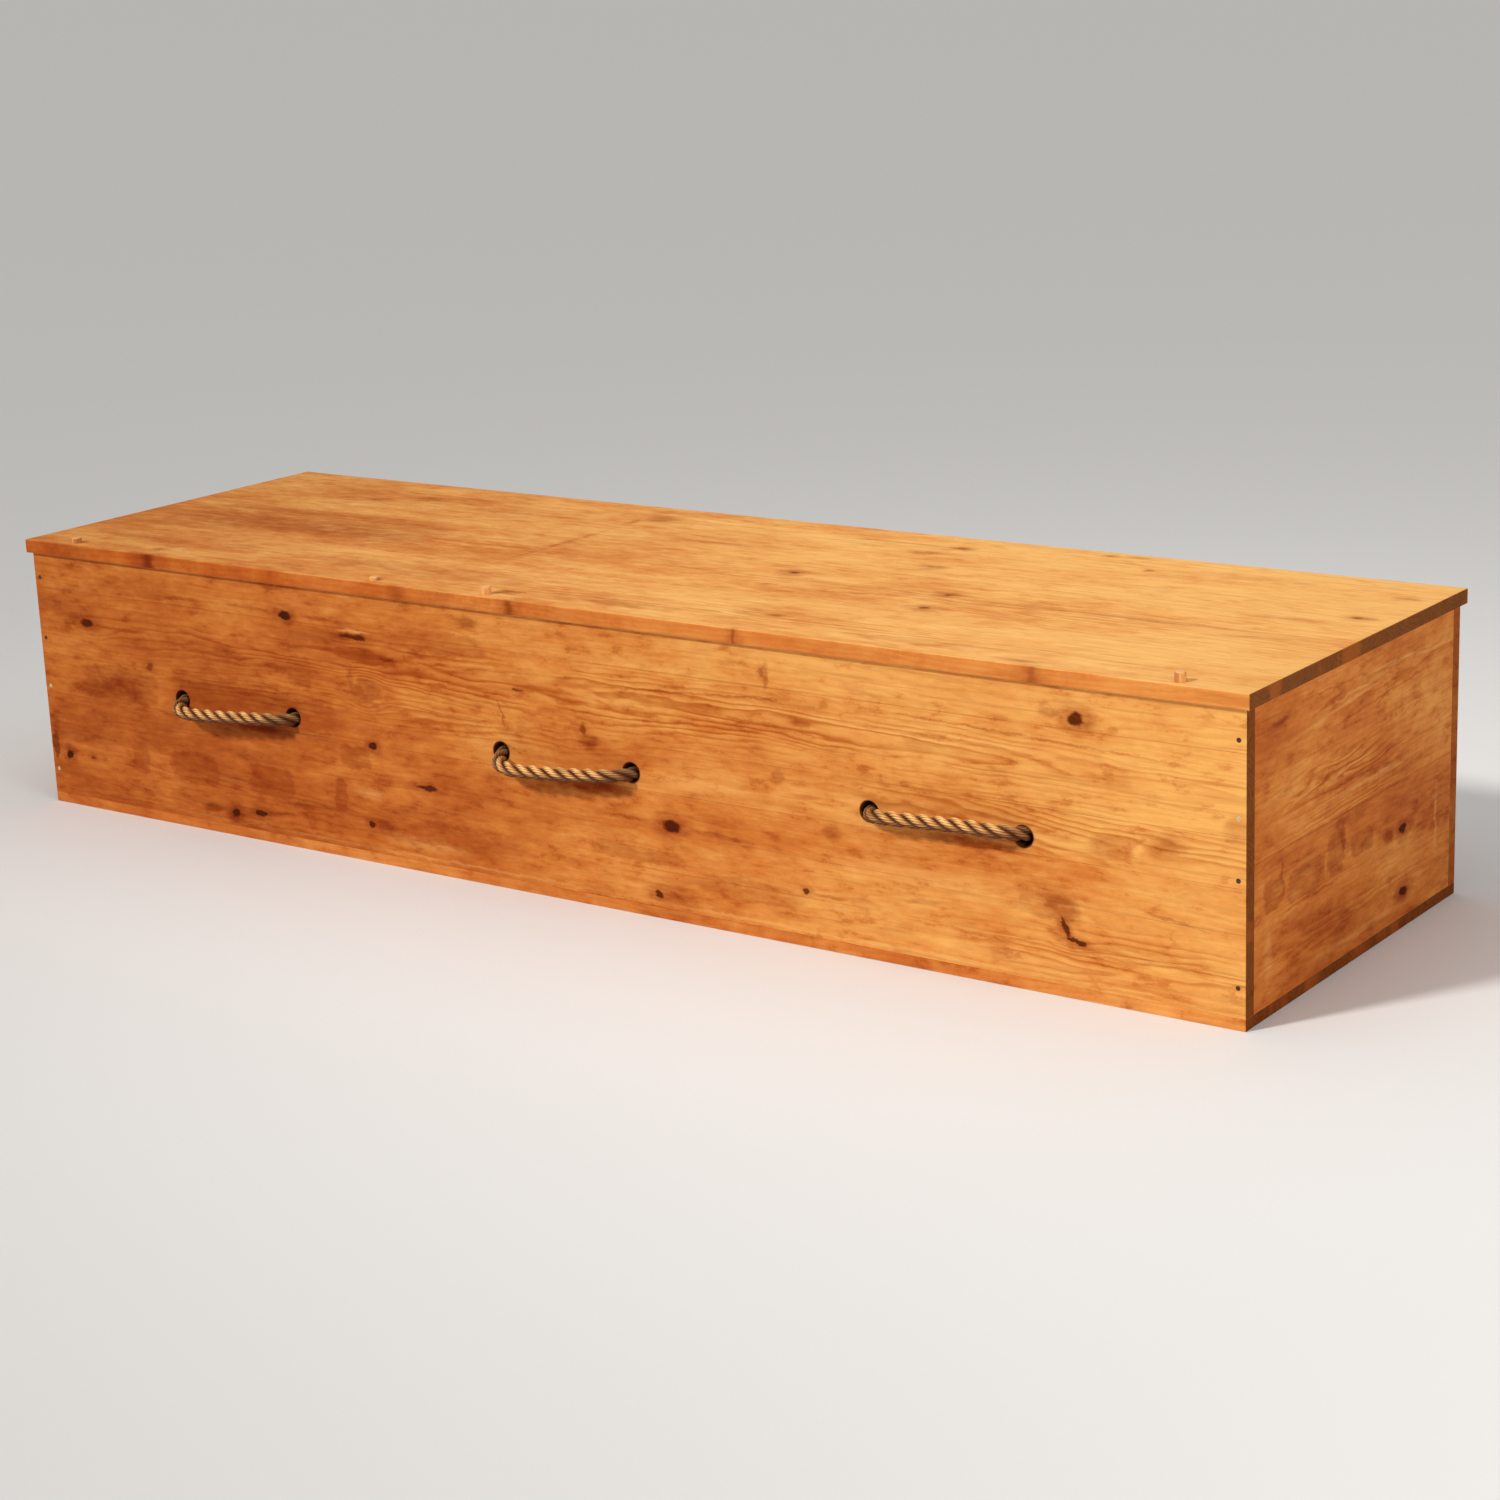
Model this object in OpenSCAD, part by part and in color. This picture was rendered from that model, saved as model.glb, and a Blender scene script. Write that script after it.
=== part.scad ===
// A plain pine coffin: a long rectangular box of butt-jointed boards with a
// loose lid, rope handles knotted inside, nailed corners and lid pegs.
// Origin: middle of the underside. X runs along the box, -Y is its front, Z is up.

/* [Box] */
// Length of the box, over the end boards
box_length = 2000; // [1600:10:2200]
// Width of the box, over the side boards
box_width = 590; // [420:10:700]
// Height of the box, under the lid
box_height = 385; // [300:5:500]
// Thickness of the side and end boards
wall_thickness = 20; // [18:1:30]
// Thickness of the bottom board
bottom_thickness = 15; // [10:1:25]
// Rounding of the box boards' edges
box_edge_round = 0.8; // [0.3:0.1:2]

/* [Lid] */
// Thickness of the lid
lid_thickness = 20; // [12:1:30]
// How far the lid stands out past the box all round
lid_overhang = 7; // [2:1:20]
// Rounding of the lid's edges
lid_edge_round = 2; // [0.5:0.5:4]

/* [Lid pegs] */
// Diameter of a lid peg
peg_diameter = 14; // [8:1:16]
// Diameter of the peg's tenon, in the front board
tenon_diameter = 10; // [6:1:12]
// Length of the peg's tenon
tenon_length = 25; // [15:1:60]
// Rounding of the peg's top edge
peg_edge_round = 2; // [1:0.5:3]
// Gap all round a peg in its hole
peg_gap = 0.2; // [0.1:0.1:0.5]

/* [Nails] */
// Diameter of a nail's head
nail_head_diameter = 6; // [4:0.5:8]
// Thickness of a nail's head
nail_head_thickness = 1.5; // [1:0.5:3]
// Diameter of a nail's shank
nail_shank_diameter = 3; // [2:0.5:4]
// Length of a nail
nail_length = 50; // [35:5:70]
// Gap all round a nail in its hole
nail_gap = 0.1; // [0.1:0.1:0.3]

/* [Rope handles] */
// Middle of the left handle, along the box
left_handle_x = -598; // [-605:1:-590]
// Middle of the middle handle, along the box
middle_handle_x = 5; // [-20:1:20]
// Middle of the right handle, along the box
right_handle_x = 596; // [590:1:605]
// Height of the handle holes above the ground
handle_height = 193; // [160:1:220]
// Distance between a handle's two holes
hole_spacing = 220; // [200:5:240]
// Diameter of the handle holes
hole_diameter = 26; // [26:1:34]
// Width of the worn rim round each hole
hole_rim = 1; // [0.5:0.5:2]
// Diameter of the rope
rope_diameter = 18; // [14:1:18]
// Diameter of a knot
knot_diameter = 46; // [40:1:56]
// Depth of a knot, inwards from the board
knot_depth = 42; // [34:1:50]
// Rounding of a knot's edges
knot_edge_round = 14; // [8:1:16]

/* [Hidden] */
$fn = 48;
rope_sides = 10;
overcut = 1;

wall_height = box_height - bottom_thickness;
end_board_length = box_width - 2 * wall_thickness;
lid_length = box_length + 2 * lid_overhang;
lid_width = box_width + 2 * lid_overhang;
front_face_y = -box_width / 2;
mid_wall = wall_thickness / 2;
hole_reach = hole_spacing / 2;
// How far below a hole's middle the rope lies, with a 1 mm gap under it.
rope_rest = (hole_diameter - rope_diameter) / 2 - 1;

// Each peg: its place from the middle as a share of half the box's length, and how
// far it stands up from the lid.
PEGS = [[-0.912, 8], [-0.323, 5], [-0.123, 11], [0.911, 12]];

// Places of the nails up each corner, as shares of the side boards' height.
NAIL_PLACES = [0.1, 0.45, 0.65, 0.9];

// Where each corner's nails go in: name, end of the box (-1 or 1), and side (-1 front, 1 back).
CORNERS = [
    ["front_left_nail_", -1, -1],
    ["front_right_nail_", 1, -1],
    ["back_left_nail_", -1, 1],
    ["back_right_nail_", 1, 1]
];

// Routes of the three ropes, as points [along the box past the nearest hole's middle
// (inwards), out from the board's face, up from the holes' middle]. A left half from
// the left knot to the middle, then a right half from the middle to the right knot.
LEFT_ROPE_OUT = [
    [0, -wall_thickness, -rope_rest], [0, -5, -rope_rest], [5, 12, -6], [18, 25, -8],
    [36, 31, -9], [70, 32, -8]
];
LEFT_ROPE_BACK = [
    [70, 28, -3], [36, 26, -1], [18, 21, -1], [5, 8, -2],
    [0, -8, -rope_rest], [0, -wall_thickness, -rope_rest]
];
MIDDLE_ROPE_OUT = [
    [0, -wall_thickness, -rope_rest], [0, -5, -rope_rest], [5, 12, -7], [18, 25, -10],
    [36, 31, -12], [70, 32, -11]
];
MIDDLE_ROPE_BACK = [
    [70, 28, -6], [36, 26, -3], [18, 21, -2], [5, 8, -2],
    [0, -8, -rope_rest], [0, -wall_thickness, -rope_rest]
];
RIGHT_ROPE_OUT = [
    [-2, -wall_thickness, -rope_rest], [-1, -8, -rope_rest], [3, 2, -2], [16, 15, 0],
    [34, 20, 2], [70, 21, 4]
];
RIGHT_ROPE_BACK = [
    [70, 21, 8], [34, 20, 8], [16, 15, 7], [5, 5, 4], [0, -6, 2], [-1, -wall_thickness, 2]
];

// Each handle: name, its middle along the box, the two halves of its rope's route,
// and [out from the face, up from the holes' middle] at the middle of the rope.
HANDLES = [
    ["left", left_handle_x, LEFT_ROPE_OUT, LEFT_ROPE_BACK, [30, -6]],
    ["middle", middle_handle_x, MIDDLE_ROPE_OUT, MIDDLE_ROPE_BACK, [30, -9]],
    ["right", right_handle_x, RIGHT_ROPE_OUT, RIGHT_ROPE_BACK, [21, 6]]
];

// The two long sides: name, and how far each is turned about the middle of the box.
// Seen from outside, both carry the same handles, so the back's left is the box's right.
SIDES = [["front", 0], ["back", 180]];

function peg_x(peg) = peg[0] * box_length / 2;
function nail_height(place) = bottom_thickness + place * wall_height;
function rope_name(side, handle) = str(side[0], "_", handle[0], "_rope");
function knot_name(side, handle, end) =
    str(rope_name(side, handle), end < 0 ? "_left_knot" : "_right_knot");

// A point of a rope's route in the box's frame, from one half of the route.
function route_point(handle, end, p) = [
    handle[1] + end * (hole_reach - p.x),
    front_face_y - p.y,
    handle_height + p.z
];

function middle_point(handle) = [handle[1], front_face_y - handle[4][0], handle_height + handle[4][1]];

// The whole route, from the left knot to the right knot.
function route(handle) = concat(
    [for (p = handle[2]) route_point(handle, -1, p)],
    [middle_point(handle)],
    [for (p = handle[3]) route_point(handle, 1, p)]
);

function unit(v) = v / norm(v);

// Direction of the rope at point i: straight through the board at both ends.
function heading(points, i) =
    i == 0 ? [0, -1, 0] :
    i == len(points) - 1 ? [0, 1, 0] :
    unit(unit(points[i + 1] - points[i]) + unit(points[i] - points[i - 1]));

// Ring of points round the rope at point i, square to its direction.
function ring(points, i) =
    let (
        ahead = heading(points, i),
        sideways = unit(cross(ahead, [0, 0, 1])),
        upwards = cross(sideways, ahead)
    )
    [for (k = [0:rope_sides - 1])
        let (turn = 360 * k / rope_sides)
        points[i] + rope_diameter / 2 * (cos(turn) * sideways + sin(turn) * upwards)];

// Flat outline with rounded corners, centred.
module rounded_rectangle(width, depth, radius) {
    square([width - 2 * radius, depth], center = true);
    square([width, depth - 2 * radius], center = true);
    for (x = [-1, 1], y = [-1, 1])
        translate([x * (width / 2 - radius), y * (depth / 2 - radius)])
            circle(r = radius);
}

// A board with every edge eased, centred in X and Y, standing on Z = 0.
module board(length, width, height, radius) {
    translate([0, 0, height / 2]) intersection() {
        linear_extrude(height, center = true) rounded_rectangle(length, width, radius);
        rotate([90, 0, 0]) linear_extrude(width, center = true) rounded_rectangle(length, height, radius);
        rotate([90, 0, 90]) linear_extrude(length, center = true) rounded_rectangle(width, height, radius);
    }
}

module bottom_board() {
    color("peru") board(box_length, box_width, bottom_thickness, box_edge_round);
}

// A hole right through a side board for the rope, its outer rim worn round.
module handle_hole() {
    rotate([-90, 0, 0]) translate([0, 0, -overcut])
        cylinder(d = hole_diameter, h = wall_thickness + 2 * overcut);
    rotate([-90, 0, 0]) translate([0, 0, -overcut])
        cylinder(
            d1 = hole_diameter + 2 * (hole_rim + overcut),
            d2 = hole_diameter,
            h = hole_rim + overcut
        );
}

// One nail along Y, its head flush with the face at Y = 0.
module nail_shape(gap) {
    rotate([-90, 0, 0]) {
        cylinder(d = nail_head_diameter + 2 * gap, h = nail_head_thickness);
        cylinder(d = nail_shank_diameter + 2 * gap, h = nail_length + gap);
    }
}

// Holes for the nails of one corner.
module nail_holes(end) {
    for (place = NAIL_PLACES)
        translate([end * (box_length / 2 - mid_wall), front_face_y, nail_height(place)]) {
            nail_shape(nail_gap);
            rotate([90, 0, 0]) cylinder(d = nail_head_diameter + 2 * nail_gap, h = overcut);
        }
}

// A side board in the front's place, with holes for its handles and nails.
module side_board() {
    difference() {
        translate([0, front_face_y + mid_wall, bottom_thickness])
            board(box_length, wall_thickness, wall_height, box_edge_round);
        for (handle = HANDLES, end = [-1, 1])
            translate([handle[1] + end * hole_reach, front_face_y, handle_height]) handle_hole();
        for (end = [-1, 1]) nail_holes(end);
    }
}

// The front board also takes the tenons of the lid pegs.
module front_board() {
    color("peru") difference() {
        side_board();
        for (peg = PEGS)
            translate([peg_x(peg), front_face_y + mid_wall, box_height - tenon_length - peg_gap])
                cylinder(d = tenon_diameter + 2 * peg_gap, h = tenon_length + peg_gap + overcut);
    }
}

module back_board() {
    color("peru") rotate([0, 0, 180]) side_board();
}

// An end board, with nail holes in both its upright edges.
module end_board(end) {
    color("peru") difference() {
        translate([end * (box_length / 2 - mid_wall), 0, bottom_thickness])
            board(wall_thickness, end_board_length, wall_height, box_edge_round);
        nail_holes(end);
        rotate([0, 0, 180]) nail_holes(-end);
    }
}

module lid() {
    color("sandybrown") difference() {
        translate([0, 0, box_height]) board(lid_length, lid_width, lid_thickness, lid_edge_round);
        for (peg = PEGS)
            translate([peg_x(peg), front_face_y + mid_wall, box_height - overcut])
                cylinder(d = peg_diameter + 2 * peg_gap, h = lid_thickness + 2 * overcut);
    }
}

// A shouldered peg: round body through the lid, thinner tenon into the front board.
module lid_peg(peg) {
    body_height = lid_thickness + peg[1];
    color("sandybrown") translate([peg_x(peg), front_face_y + mid_wall, box_height]) {
        rotate_extrude() difference() {
            union() {
                square([peg_diameter / 2 - peg_edge_round, body_height]);
                square([peg_diameter / 2, body_height - peg_edge_round]);
                translate([peg_diameter / 2 - peg_edge_round, body_height - peg_edge_round])
                    circle(r = peg_edge_round);
            }
            translate([-peg_diameter, 0]) square([peg_diameter, body_height]);
        }
        translate([0, 0, -tenon_length]) cylinder(d = tenon_diameter, h = tenon_length);
    }
}

module nail(corner, place) {
    color("dimgray")
        translate([corner[1] * (box_length / 2 - mid_wall), corner[2] * box_width / 2, nail_height(place)])
        rotate([0, 0, corner[2] < 0 ? 0 : 180]) nail_shape(0);
}

// The rope of one handle: a tube along its route.
module rope(side, handle) {
    points = route(handle);
    last = len(points) - 1;
    rings = [for (i = [0:last]) each ring(points, i)];
    skin = [
        for (i = [0:last - 1], k = [0:rope_sides - 1])
            let (next = (k + 1) % rope_sides, low = i * rope_sides, high = low + rope_sides)
            each [[low + k, high + next, high + k], [low + k, low + next, high + next]]
    ];
    first_cap = [for (k = [rope_sides - 1:-1:0]) k];
    last_cap = [for (k = [0:rope_sides - 1]) last * rope_sides + k];
    color("burlywood") rotate([0, 0, side[1]])
        polyhedron(rings, concat([first_cap], skin, [last_cap]), convexity = 4);
}

// A knot against the board's inner face, over the end of the rope.
module knot(side, handle, end) {
    points = route(handle);
    seat = end < 0 ? points[0] : points[len(points) - 1];
    radius = knot_diameter / 2;
    color("burlywood") rotate([0, 0, side[1]]) translate(seat) rotate([-90, 0, 0]) rotate_extrude()
        intersection() {
            translate([0, knot_depth / 2]) rounded_rectangle(knot_diameter, knot_depth, knot_edge_round);
            square([radius, knot_depth]);
        }
}

bottom_board();
front_board();
back_board();
end_board(-1);  // left_end_board
end_board(1);  // right_end_board
lid();
for (i = [0:len(PEGS) - 1])
    lid_peg(PEGS[i]);
for (corner = CORNERS, i = [0:len(NAIL_PLACES) - 1])
    nail(corner, NAIL_PLACES[i]);
for (side = SIDES, handle = HANDLES)
    rope(side, handle);
for (side = SIDES, handle = HANDLES, end = [-1, 1])
    knot(side, handle, end);
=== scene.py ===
import math

import bpy
from bpy.props import FloatProperty, FloatVectorProperty, IntProperty, PointerProperty
from bpy.types import Operator, Panel, PropertyGroup
from mathutils import Matrix, Vector


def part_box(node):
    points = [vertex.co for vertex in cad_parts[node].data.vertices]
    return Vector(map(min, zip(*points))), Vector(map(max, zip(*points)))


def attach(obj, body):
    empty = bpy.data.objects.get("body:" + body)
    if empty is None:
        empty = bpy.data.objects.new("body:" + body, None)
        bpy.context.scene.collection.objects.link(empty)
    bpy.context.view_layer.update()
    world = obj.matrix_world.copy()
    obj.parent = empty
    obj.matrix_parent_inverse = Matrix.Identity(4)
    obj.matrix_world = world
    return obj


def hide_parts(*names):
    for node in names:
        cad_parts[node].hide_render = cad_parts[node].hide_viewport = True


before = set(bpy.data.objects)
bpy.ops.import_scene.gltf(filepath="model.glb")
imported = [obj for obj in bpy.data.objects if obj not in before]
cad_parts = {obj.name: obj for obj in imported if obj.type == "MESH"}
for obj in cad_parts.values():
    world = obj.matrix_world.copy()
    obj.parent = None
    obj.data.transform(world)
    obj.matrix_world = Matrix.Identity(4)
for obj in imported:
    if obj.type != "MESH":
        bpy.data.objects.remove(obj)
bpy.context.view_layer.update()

bl_info = {
    "name": "Pine coffin",
    "version": (1, 0, 0),
    "blender": (4, 5, 0),
    "location": "View3D > Sidebar > Coffin",
    "description": "Finishes a pine coffin with rope handles, dowels and nails",
    "category": "Object",
}

# The whole box's corners, from before anything is finished.
FRONT_LOW, FRONT_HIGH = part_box("front_board")
PEGS = [f"lid_peg_{i}" for i in range(1, 5)]
CORNERS = ("front_left", "front_right", "back_left", "back_right")
NAILS = [f"{corner}_nail_{i}" for corner in CORNERS for i in range(1, 5)]
SHINING = (
    "front_left_nail_1", "front_left_nail_2", "front_right_nail_3", "back_left_nail_3",
    "back_right_nail_2",
)

# Rope routes, in millimetres: inwards from the nearest hole's middle, out from the
# board's face, up from the holes' middle. A left half, the middle, a right half.
WALL = 1000 * (FRONT_HIGH.y - FRONT_LOW.y)
HOLE_REACH = 110
HOLE_RADIUS = 13
HANDLE_HEIGHT = 193
HANDLES = {
    "left": (
        -598,
        [(0, -WALL, -3), (0, -5, -3), (5, 12, -6), (18, 25, -8), (36, 31, -9), (70, 32, -8)],
        (30, -6),
        [(70, 28, -3), (36, 26, -1), (18, 21, -1), (5, 8, -2), (0, -8, -3), (0, -WALL, -3)],
    ),
    "middle": (
        5,
        [(0, -WALL, -3), (0, -5, -3), (5, 12, -7), (18, 25, -10), (36, 31, -12), (70, 32, -11)],
        (30, -9),
        [(70, 28, -6), (36, 26, -3), (18, 21, -2), (5, 8, -2), (0, -8, -3), (0, -WALL, -3)],
    ),
    "right": (
        596,
        [(-2, -WALL, -3), (-1, -8, -3), (3, 2, -2), (16, 15, 0), (34, 20, 2), (70, 21, 4)],
        (21, 6),
        [(70, 21, 8), (34, 20, 8), (16, 15, 7), (5, 5, 4), (0, -6, 2), (-1, -WALL, 2)],
    ),
}

# An overhand knot pulled tight, in millimetres: in from the board's inner face,
# sideways, up.
KNOT = [
    (0, 0, 0), (10, 0, 1), (19, -2, 5), (24, -8, 10), (32, -14, 9.5), (39.5, -16.5, 4),
    (45, -13, -3.5), (46.5, -5, -9), (43.5, 4.5, -10), (37, 11, -6.5), (30, 12.5, 0.5),
    (23, 12.5, 7.5), (15.5, 9.5, 13.5), (10, 2, 16), (8, -7.5, 14), (10.5, -14.5, 7.5),
    (17, -16.5, 0.5), (24.5, -13, -4), (31.5, -6, -3.5), (37.5, -1, 3), (47, 0, 5.5),
    (57, 0, 6), (64, 1, 6),
]


# ---------------------------------------------------------------- settings


def colour(name, text, value):
    return FloatVectorProperty(
        name=name, description=text, default=value, size=3, min=0, max=1, subtype="COLOR"
    )


def share(name, text, value):
    return FloatProperty(name=name, description=text, default=value, min=0, max=1, subtype="FACTOR")


def size(name, text, value):
    return FloatProperty(
        name=name, description=text, default=value, min=0, subtype="DISTANCE", unit="LENGTH"
    )


def power(name, text, value, unit="NONE"):
    return FloatProperty(name=name, description=text, default=value, min=0, unit=unit)


def angle(name, text, degrees):
    return FloatProperty(name=name, description=text, default=math.radians(degrees), unit="ROTATION")


class CoffinWood(PropertyGroup):
    """Colours and sizes of the oiled pine"""

    pale: colour("Pale wood", "Lightest wood, hardly touched by the oil", (0.80, 0.38, 0.103))
    honey: colour("Honey wood", "Light oiled wood", (0.72, 0.285, 0.068))
    tawny: colour("Tawny wood", "Main colour of the oiled pine", (0.60, 0.18, 0.034))
    amber: colour("Amber wood", "Deeper colour where the oil has soaked in", (0.47, 0.11, 0.0185))
    deep: colour("Deep wood", "Darkest oiled wood", (0.35, 0.068, 0.0105))
    gleam: colour("Streaks", "Light streaks along the grain", (0.88, 0.46, 0.14))
    line: colour("Ring lines", "Tint of the late wood of each ring", (0.66, 0.43, 0.27))
    red: colour("Red blotches", "Reddish patches in the grain", (0.33, 0.058, 0.0085))
    brown: colour("Brown stains", "Brown edges, joints and rims", (0.23, 0.052, 0.0095))
    # Also tints the painted shadow under the rope handles.
    stain_and_shadow: colour("Stain tint", "Tint of brown patches and halos", (0.48, 0.2, 0.09))
    knot: colour("Knots", "Heart of the knots", (0.05, 0.011, 0.0025))
    end_grain: colour("End grain", "Sawn ends of the boards", (0.19, 0.036, 0.0045))
    bare: colour("Bare wood", "Unoiled pine inside the box", (0.74, 0.47, 0.23))
    ring_gap: size("Ring gap", "Distance between growth rings", 0.0064)
    joint: size("Joint", "Half the width of a glued joint's line", 0.0008)
    gloss: share("Roughness", "How matt the oiled surface is", 0.52)
    oil: share("Oil", "Strength of the oil's sheen", 0.035)
    relief: size("Relief", "Height of the raised grain", 0.00035)


class CoffinRope(PropertyGroup):
    """Colours and sizes of the rope handles"""

    diameter: size("Diameter", "Diameter of the rope", 0.018)
    lay: size("Lay", "Length in which a strand turns once round the rope", 0.068)
    yarn_lay: size("Yarn lay", "Length in which a yarn turns once round its strand", 0.052)
    yarns: IntProperty(
        name="Yarns", description="Yarns that show round one strand", default=7, min=3, max=12
    )
    groove: share("Groove", "Depth of the grooves between yarns", 0.16)
    tight: share("Knot", "Thickness of the rope where it is knotted", 0.84)
    step: size("Step", "Distance between sections along the rope", 0.0013)
    hairs: IntProperty(name="Hairs", description="Stray fibres in a square metre", default=9000, min=0)
    hair: size("Hair length", "Length of a stray fibre", 0.0050)
    straw: colour("Straw", "Light fibres", (0.95, 0.52, 0.165))
    tan: colour("Tan", "Main colour of the fibres", (0.47, 0.165, 0.037))
    # Painted highlight colour, laid on the strands' tops where they face up.
    gleam: colour("Gleam", "Bleached fibres on top of the strands", (0.98, 0.64, 0.26))
    # Painted shade for the grooves, the underside and the ends near the holes, also the rope's dirt.
    shade: colour("Grooves", "Fibres down between the yarns", (0.105, 0.026, 0.005))


class CoffinNails(PropertyGroup):
    """Colours of the nail heads"""

    dark: colour("Dark iron", "Weathered nail heads", (0.075, 0.034, 0.02))
    bright: colour("Bright head", "Nail heads rubbed clean", (0.83, 0.6, 0.36))
    rust: colour("Rust", "Rust in the hollows", (0.17, 0.05, 0.018))


class CoffinStage(PropertyGroup):
    """The floor, the lights and the camera"""

    floor: colour("Floor", "Pale floor", (0.8, 0.8, 0.8))
    sky: power("Room light", "Strength of the even light", 0.17)
    key: power("Key", "Strength of the main light", 2.35)
    top: power("Overhead", "Power of the light from above", 18, "POWER")
    fill: power("Fill", "Power of the soft light on the right end", 40, "POWER")
    lens: FloatProperty(name="Lens", description="Focal length", default=74.54, min=1, unit="CAMERA")
    azimuth: angle("Azimuth", "Turn round the box", 36.293)
    elevation: angle("Elevation", "Height above the floor's line", 15.354)
    roll: angle("Roll", "Tilt of the camera", -2.281)
    distance: size("Distance", "From the camera to what it looks at", 4.2886)
    target: FloatVectorProperty(
        name="Target",
        description="Where the camera looks",
        default=(0.0911, 0, 0.1479),
        size=3,
        subtype="TRANSLATION",
        unit="LENGTH",
    )


# ---------------------------------------------------------------- wiring


class Wire:
    """One socket of a node tree. Sums of wires and numbers add their Math nodes."""

    def __init__(self, tree, socket=None):
        self.tree = tree
        self.socket = socket

    def node(self, kind, settings=None, values=None, out=0):
        """Adds any node: its settings first, then the values or wires of its sockets."""
        made = self.tree.nodes.new(kind)
        for name, value in (settings or {}).items():
            if name == "stops":
                lay_stops(made.color_ramp, value)
            else:
                setattr(made, name, value)
        for name, value in (values or {}).items():
            if isinstance(value, Wire):
                self.tree.links.new(value.socket, made.inputs[name])
            else:
                made.inputs[name].default_value = value
        return Wire(self.tree, made.outputs[out])

    def also(self, out):
        """Another output of the node that this wire leaves."""
        return Wire(self.tree, self.socket.node.outputs[out])

    def sum(self, operation, *values):
        return self.node("ShaderNodeMath", {"operation": operation}, dict(enumerate(values)))

    def __add__(self, other):
        return self.sum("ADD", self, other)

    def __radd__(self, other):
        return self.sum("ADD", other, self)

    def __sub__(self, other):
        return self.sum("SUBTRACT", self, other)

    def __rsub__(self, other):
        return self.sum("SUBTRACT", other, self)

    def __mul__(self, other):
        return self.sum("MULTIPLY", self, other)

    def __rmul__(self, other):
        return self.sum("MULTIPLY", other, self)

    def __truediv__(self, other):
        return self.sum("DIVIDE", self, other)

    def __pow__(self, other):
        return self.sum("POWER", self, other)

    def __abs__(self):
        return self.sum("ABSOLUTE", self)

    def between(self, low, high, least=0.0, most=1.0):
        """Eases from least to most as this goes from low to high."""
        return self.node(
            "ShaderNodeMapRange",
            {"interpolation_type": "SMOOTHSTEP"},
            {0: self, 1: low, 2: high, 3: least, 4: most},
        )

    def noise(self, scale, detail=3.0, rough=0.5, out=0):
        """Noise at this place."""
        return self.node(
            "ShaderNodeTexNoise",
            {"noise_dimensions": "3D"},
            {"Vector": self, "Scale": scale, "Detail": detail, "Roughness": rough},
            out,
        )

    def vector(self, operation, *values, out=0):
        """This place or direction, worked on together with others."""
        values = dict(enumerate((self, *values)))
        return self.node("ShaderNodeVectorMath", {"operation": operation}, values, out)

    def scaled(self, scale):
        """This place or direction, made longer or shorter."""
        return self.node("ShaderNodeVectorMath", {"operation": "SCALE"}, {0: self, "Scale": scale})

    def split(self):
        """The first part of this place or direction, with its other parts beside it."""
        return self.node("ShaderNodeSeparateXYZ", None, {0: self})

    def stretch(self, x, y, z, shift=(0, 0, 0)):
        """This place, stretched along each axis and shifted."""
        return self.vector("MULTIPLY_ADD", (x, y, z), shift)

    def mix(self, share, other, blend="MIX"):
        """This colour, with a share of another one over it."""
        return self.node(
            "ShaderNodeMix",
            {"data_type": "RGBA", "blend_type": blend},
            {0: share, 6: self, 7: other},
            2,
        )


def lay_stops(ramp, stops):
    """Stops as (place, value or colour); with a third word they are steps, not slopes."""
    ramp.interpolation = "LINEAR" if len(stops[0]) == 2 else "CONSTANT"
    while len(ramp.elements) < len(stops):
        ramp.elements.new(0.5)
    for element, stop in zip(ramp.elements, stops):
        value = stop[1]
        element.position = stop[0]
        element.color = (*value, 1) if hasattr(value, "__len__") else (value, value, value, 1)


def rgb(value):
    return (*value, 1)


def attribute(start, name, out="Fac"):
    return start.node("ShaderNodeAttribute", {"attribute_name": name}, None, out)


def at(start, kind="Object"):
    """The place on the object, or the way that its surface faces."""
    return start.node("ShaderNodeTexCoord", None, None, kind)


def gather(start, x, y, z):
    return start.node("ShaderNodeCombineXYZ", None, {0: x, 1: y, 2: z})


def graded(share, stops):
    """The value or colour that the stops have at this share."""
    return share.node("ShaderNodeValToRGB", {"stops": stops}, {0: share})


def blend(share, first, second):
    """From the first colour to the second."""
    values = {0: share, 6: rgb(first), 7: rgb(second)}
    return share.node("ShaderNodeMix", {"data_type": "RGBA"}, values, 2)


def new_material(name):
    """A material with one plain surface shader: its first wire, and the shader node."""
    material = bpy.data.materials.new(name)
    material.use_nodes = True
    tree = material.node_tree
    tree.nodes.clear()
    start = Wire(tree)
    surface = start.node("ShaderNodeBsdfPrincipled")
    output = tree.nodes.new("ShaderNodeOutputMaterial")
    tree.links.new(surface.socket, output.inputs["Surface"])
    return material, start, surface.socket.node


def join(start, surface, name, value):
    """Puts a wire or a number on one of the surface shader's sockets."""
    if isinstance(value, Wire):
        start.tree.links.new(value.socket, surface.inputs[name])
    else:
        surface.inputs[name].default_value = value


def bump(start, surface, height, distance):
    relief = start.node("ShaderNodeBump", None, {"Strength": 1.0, "Distance": distance, "Height": height})
    join(start, surface, "Normal", relief)
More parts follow.
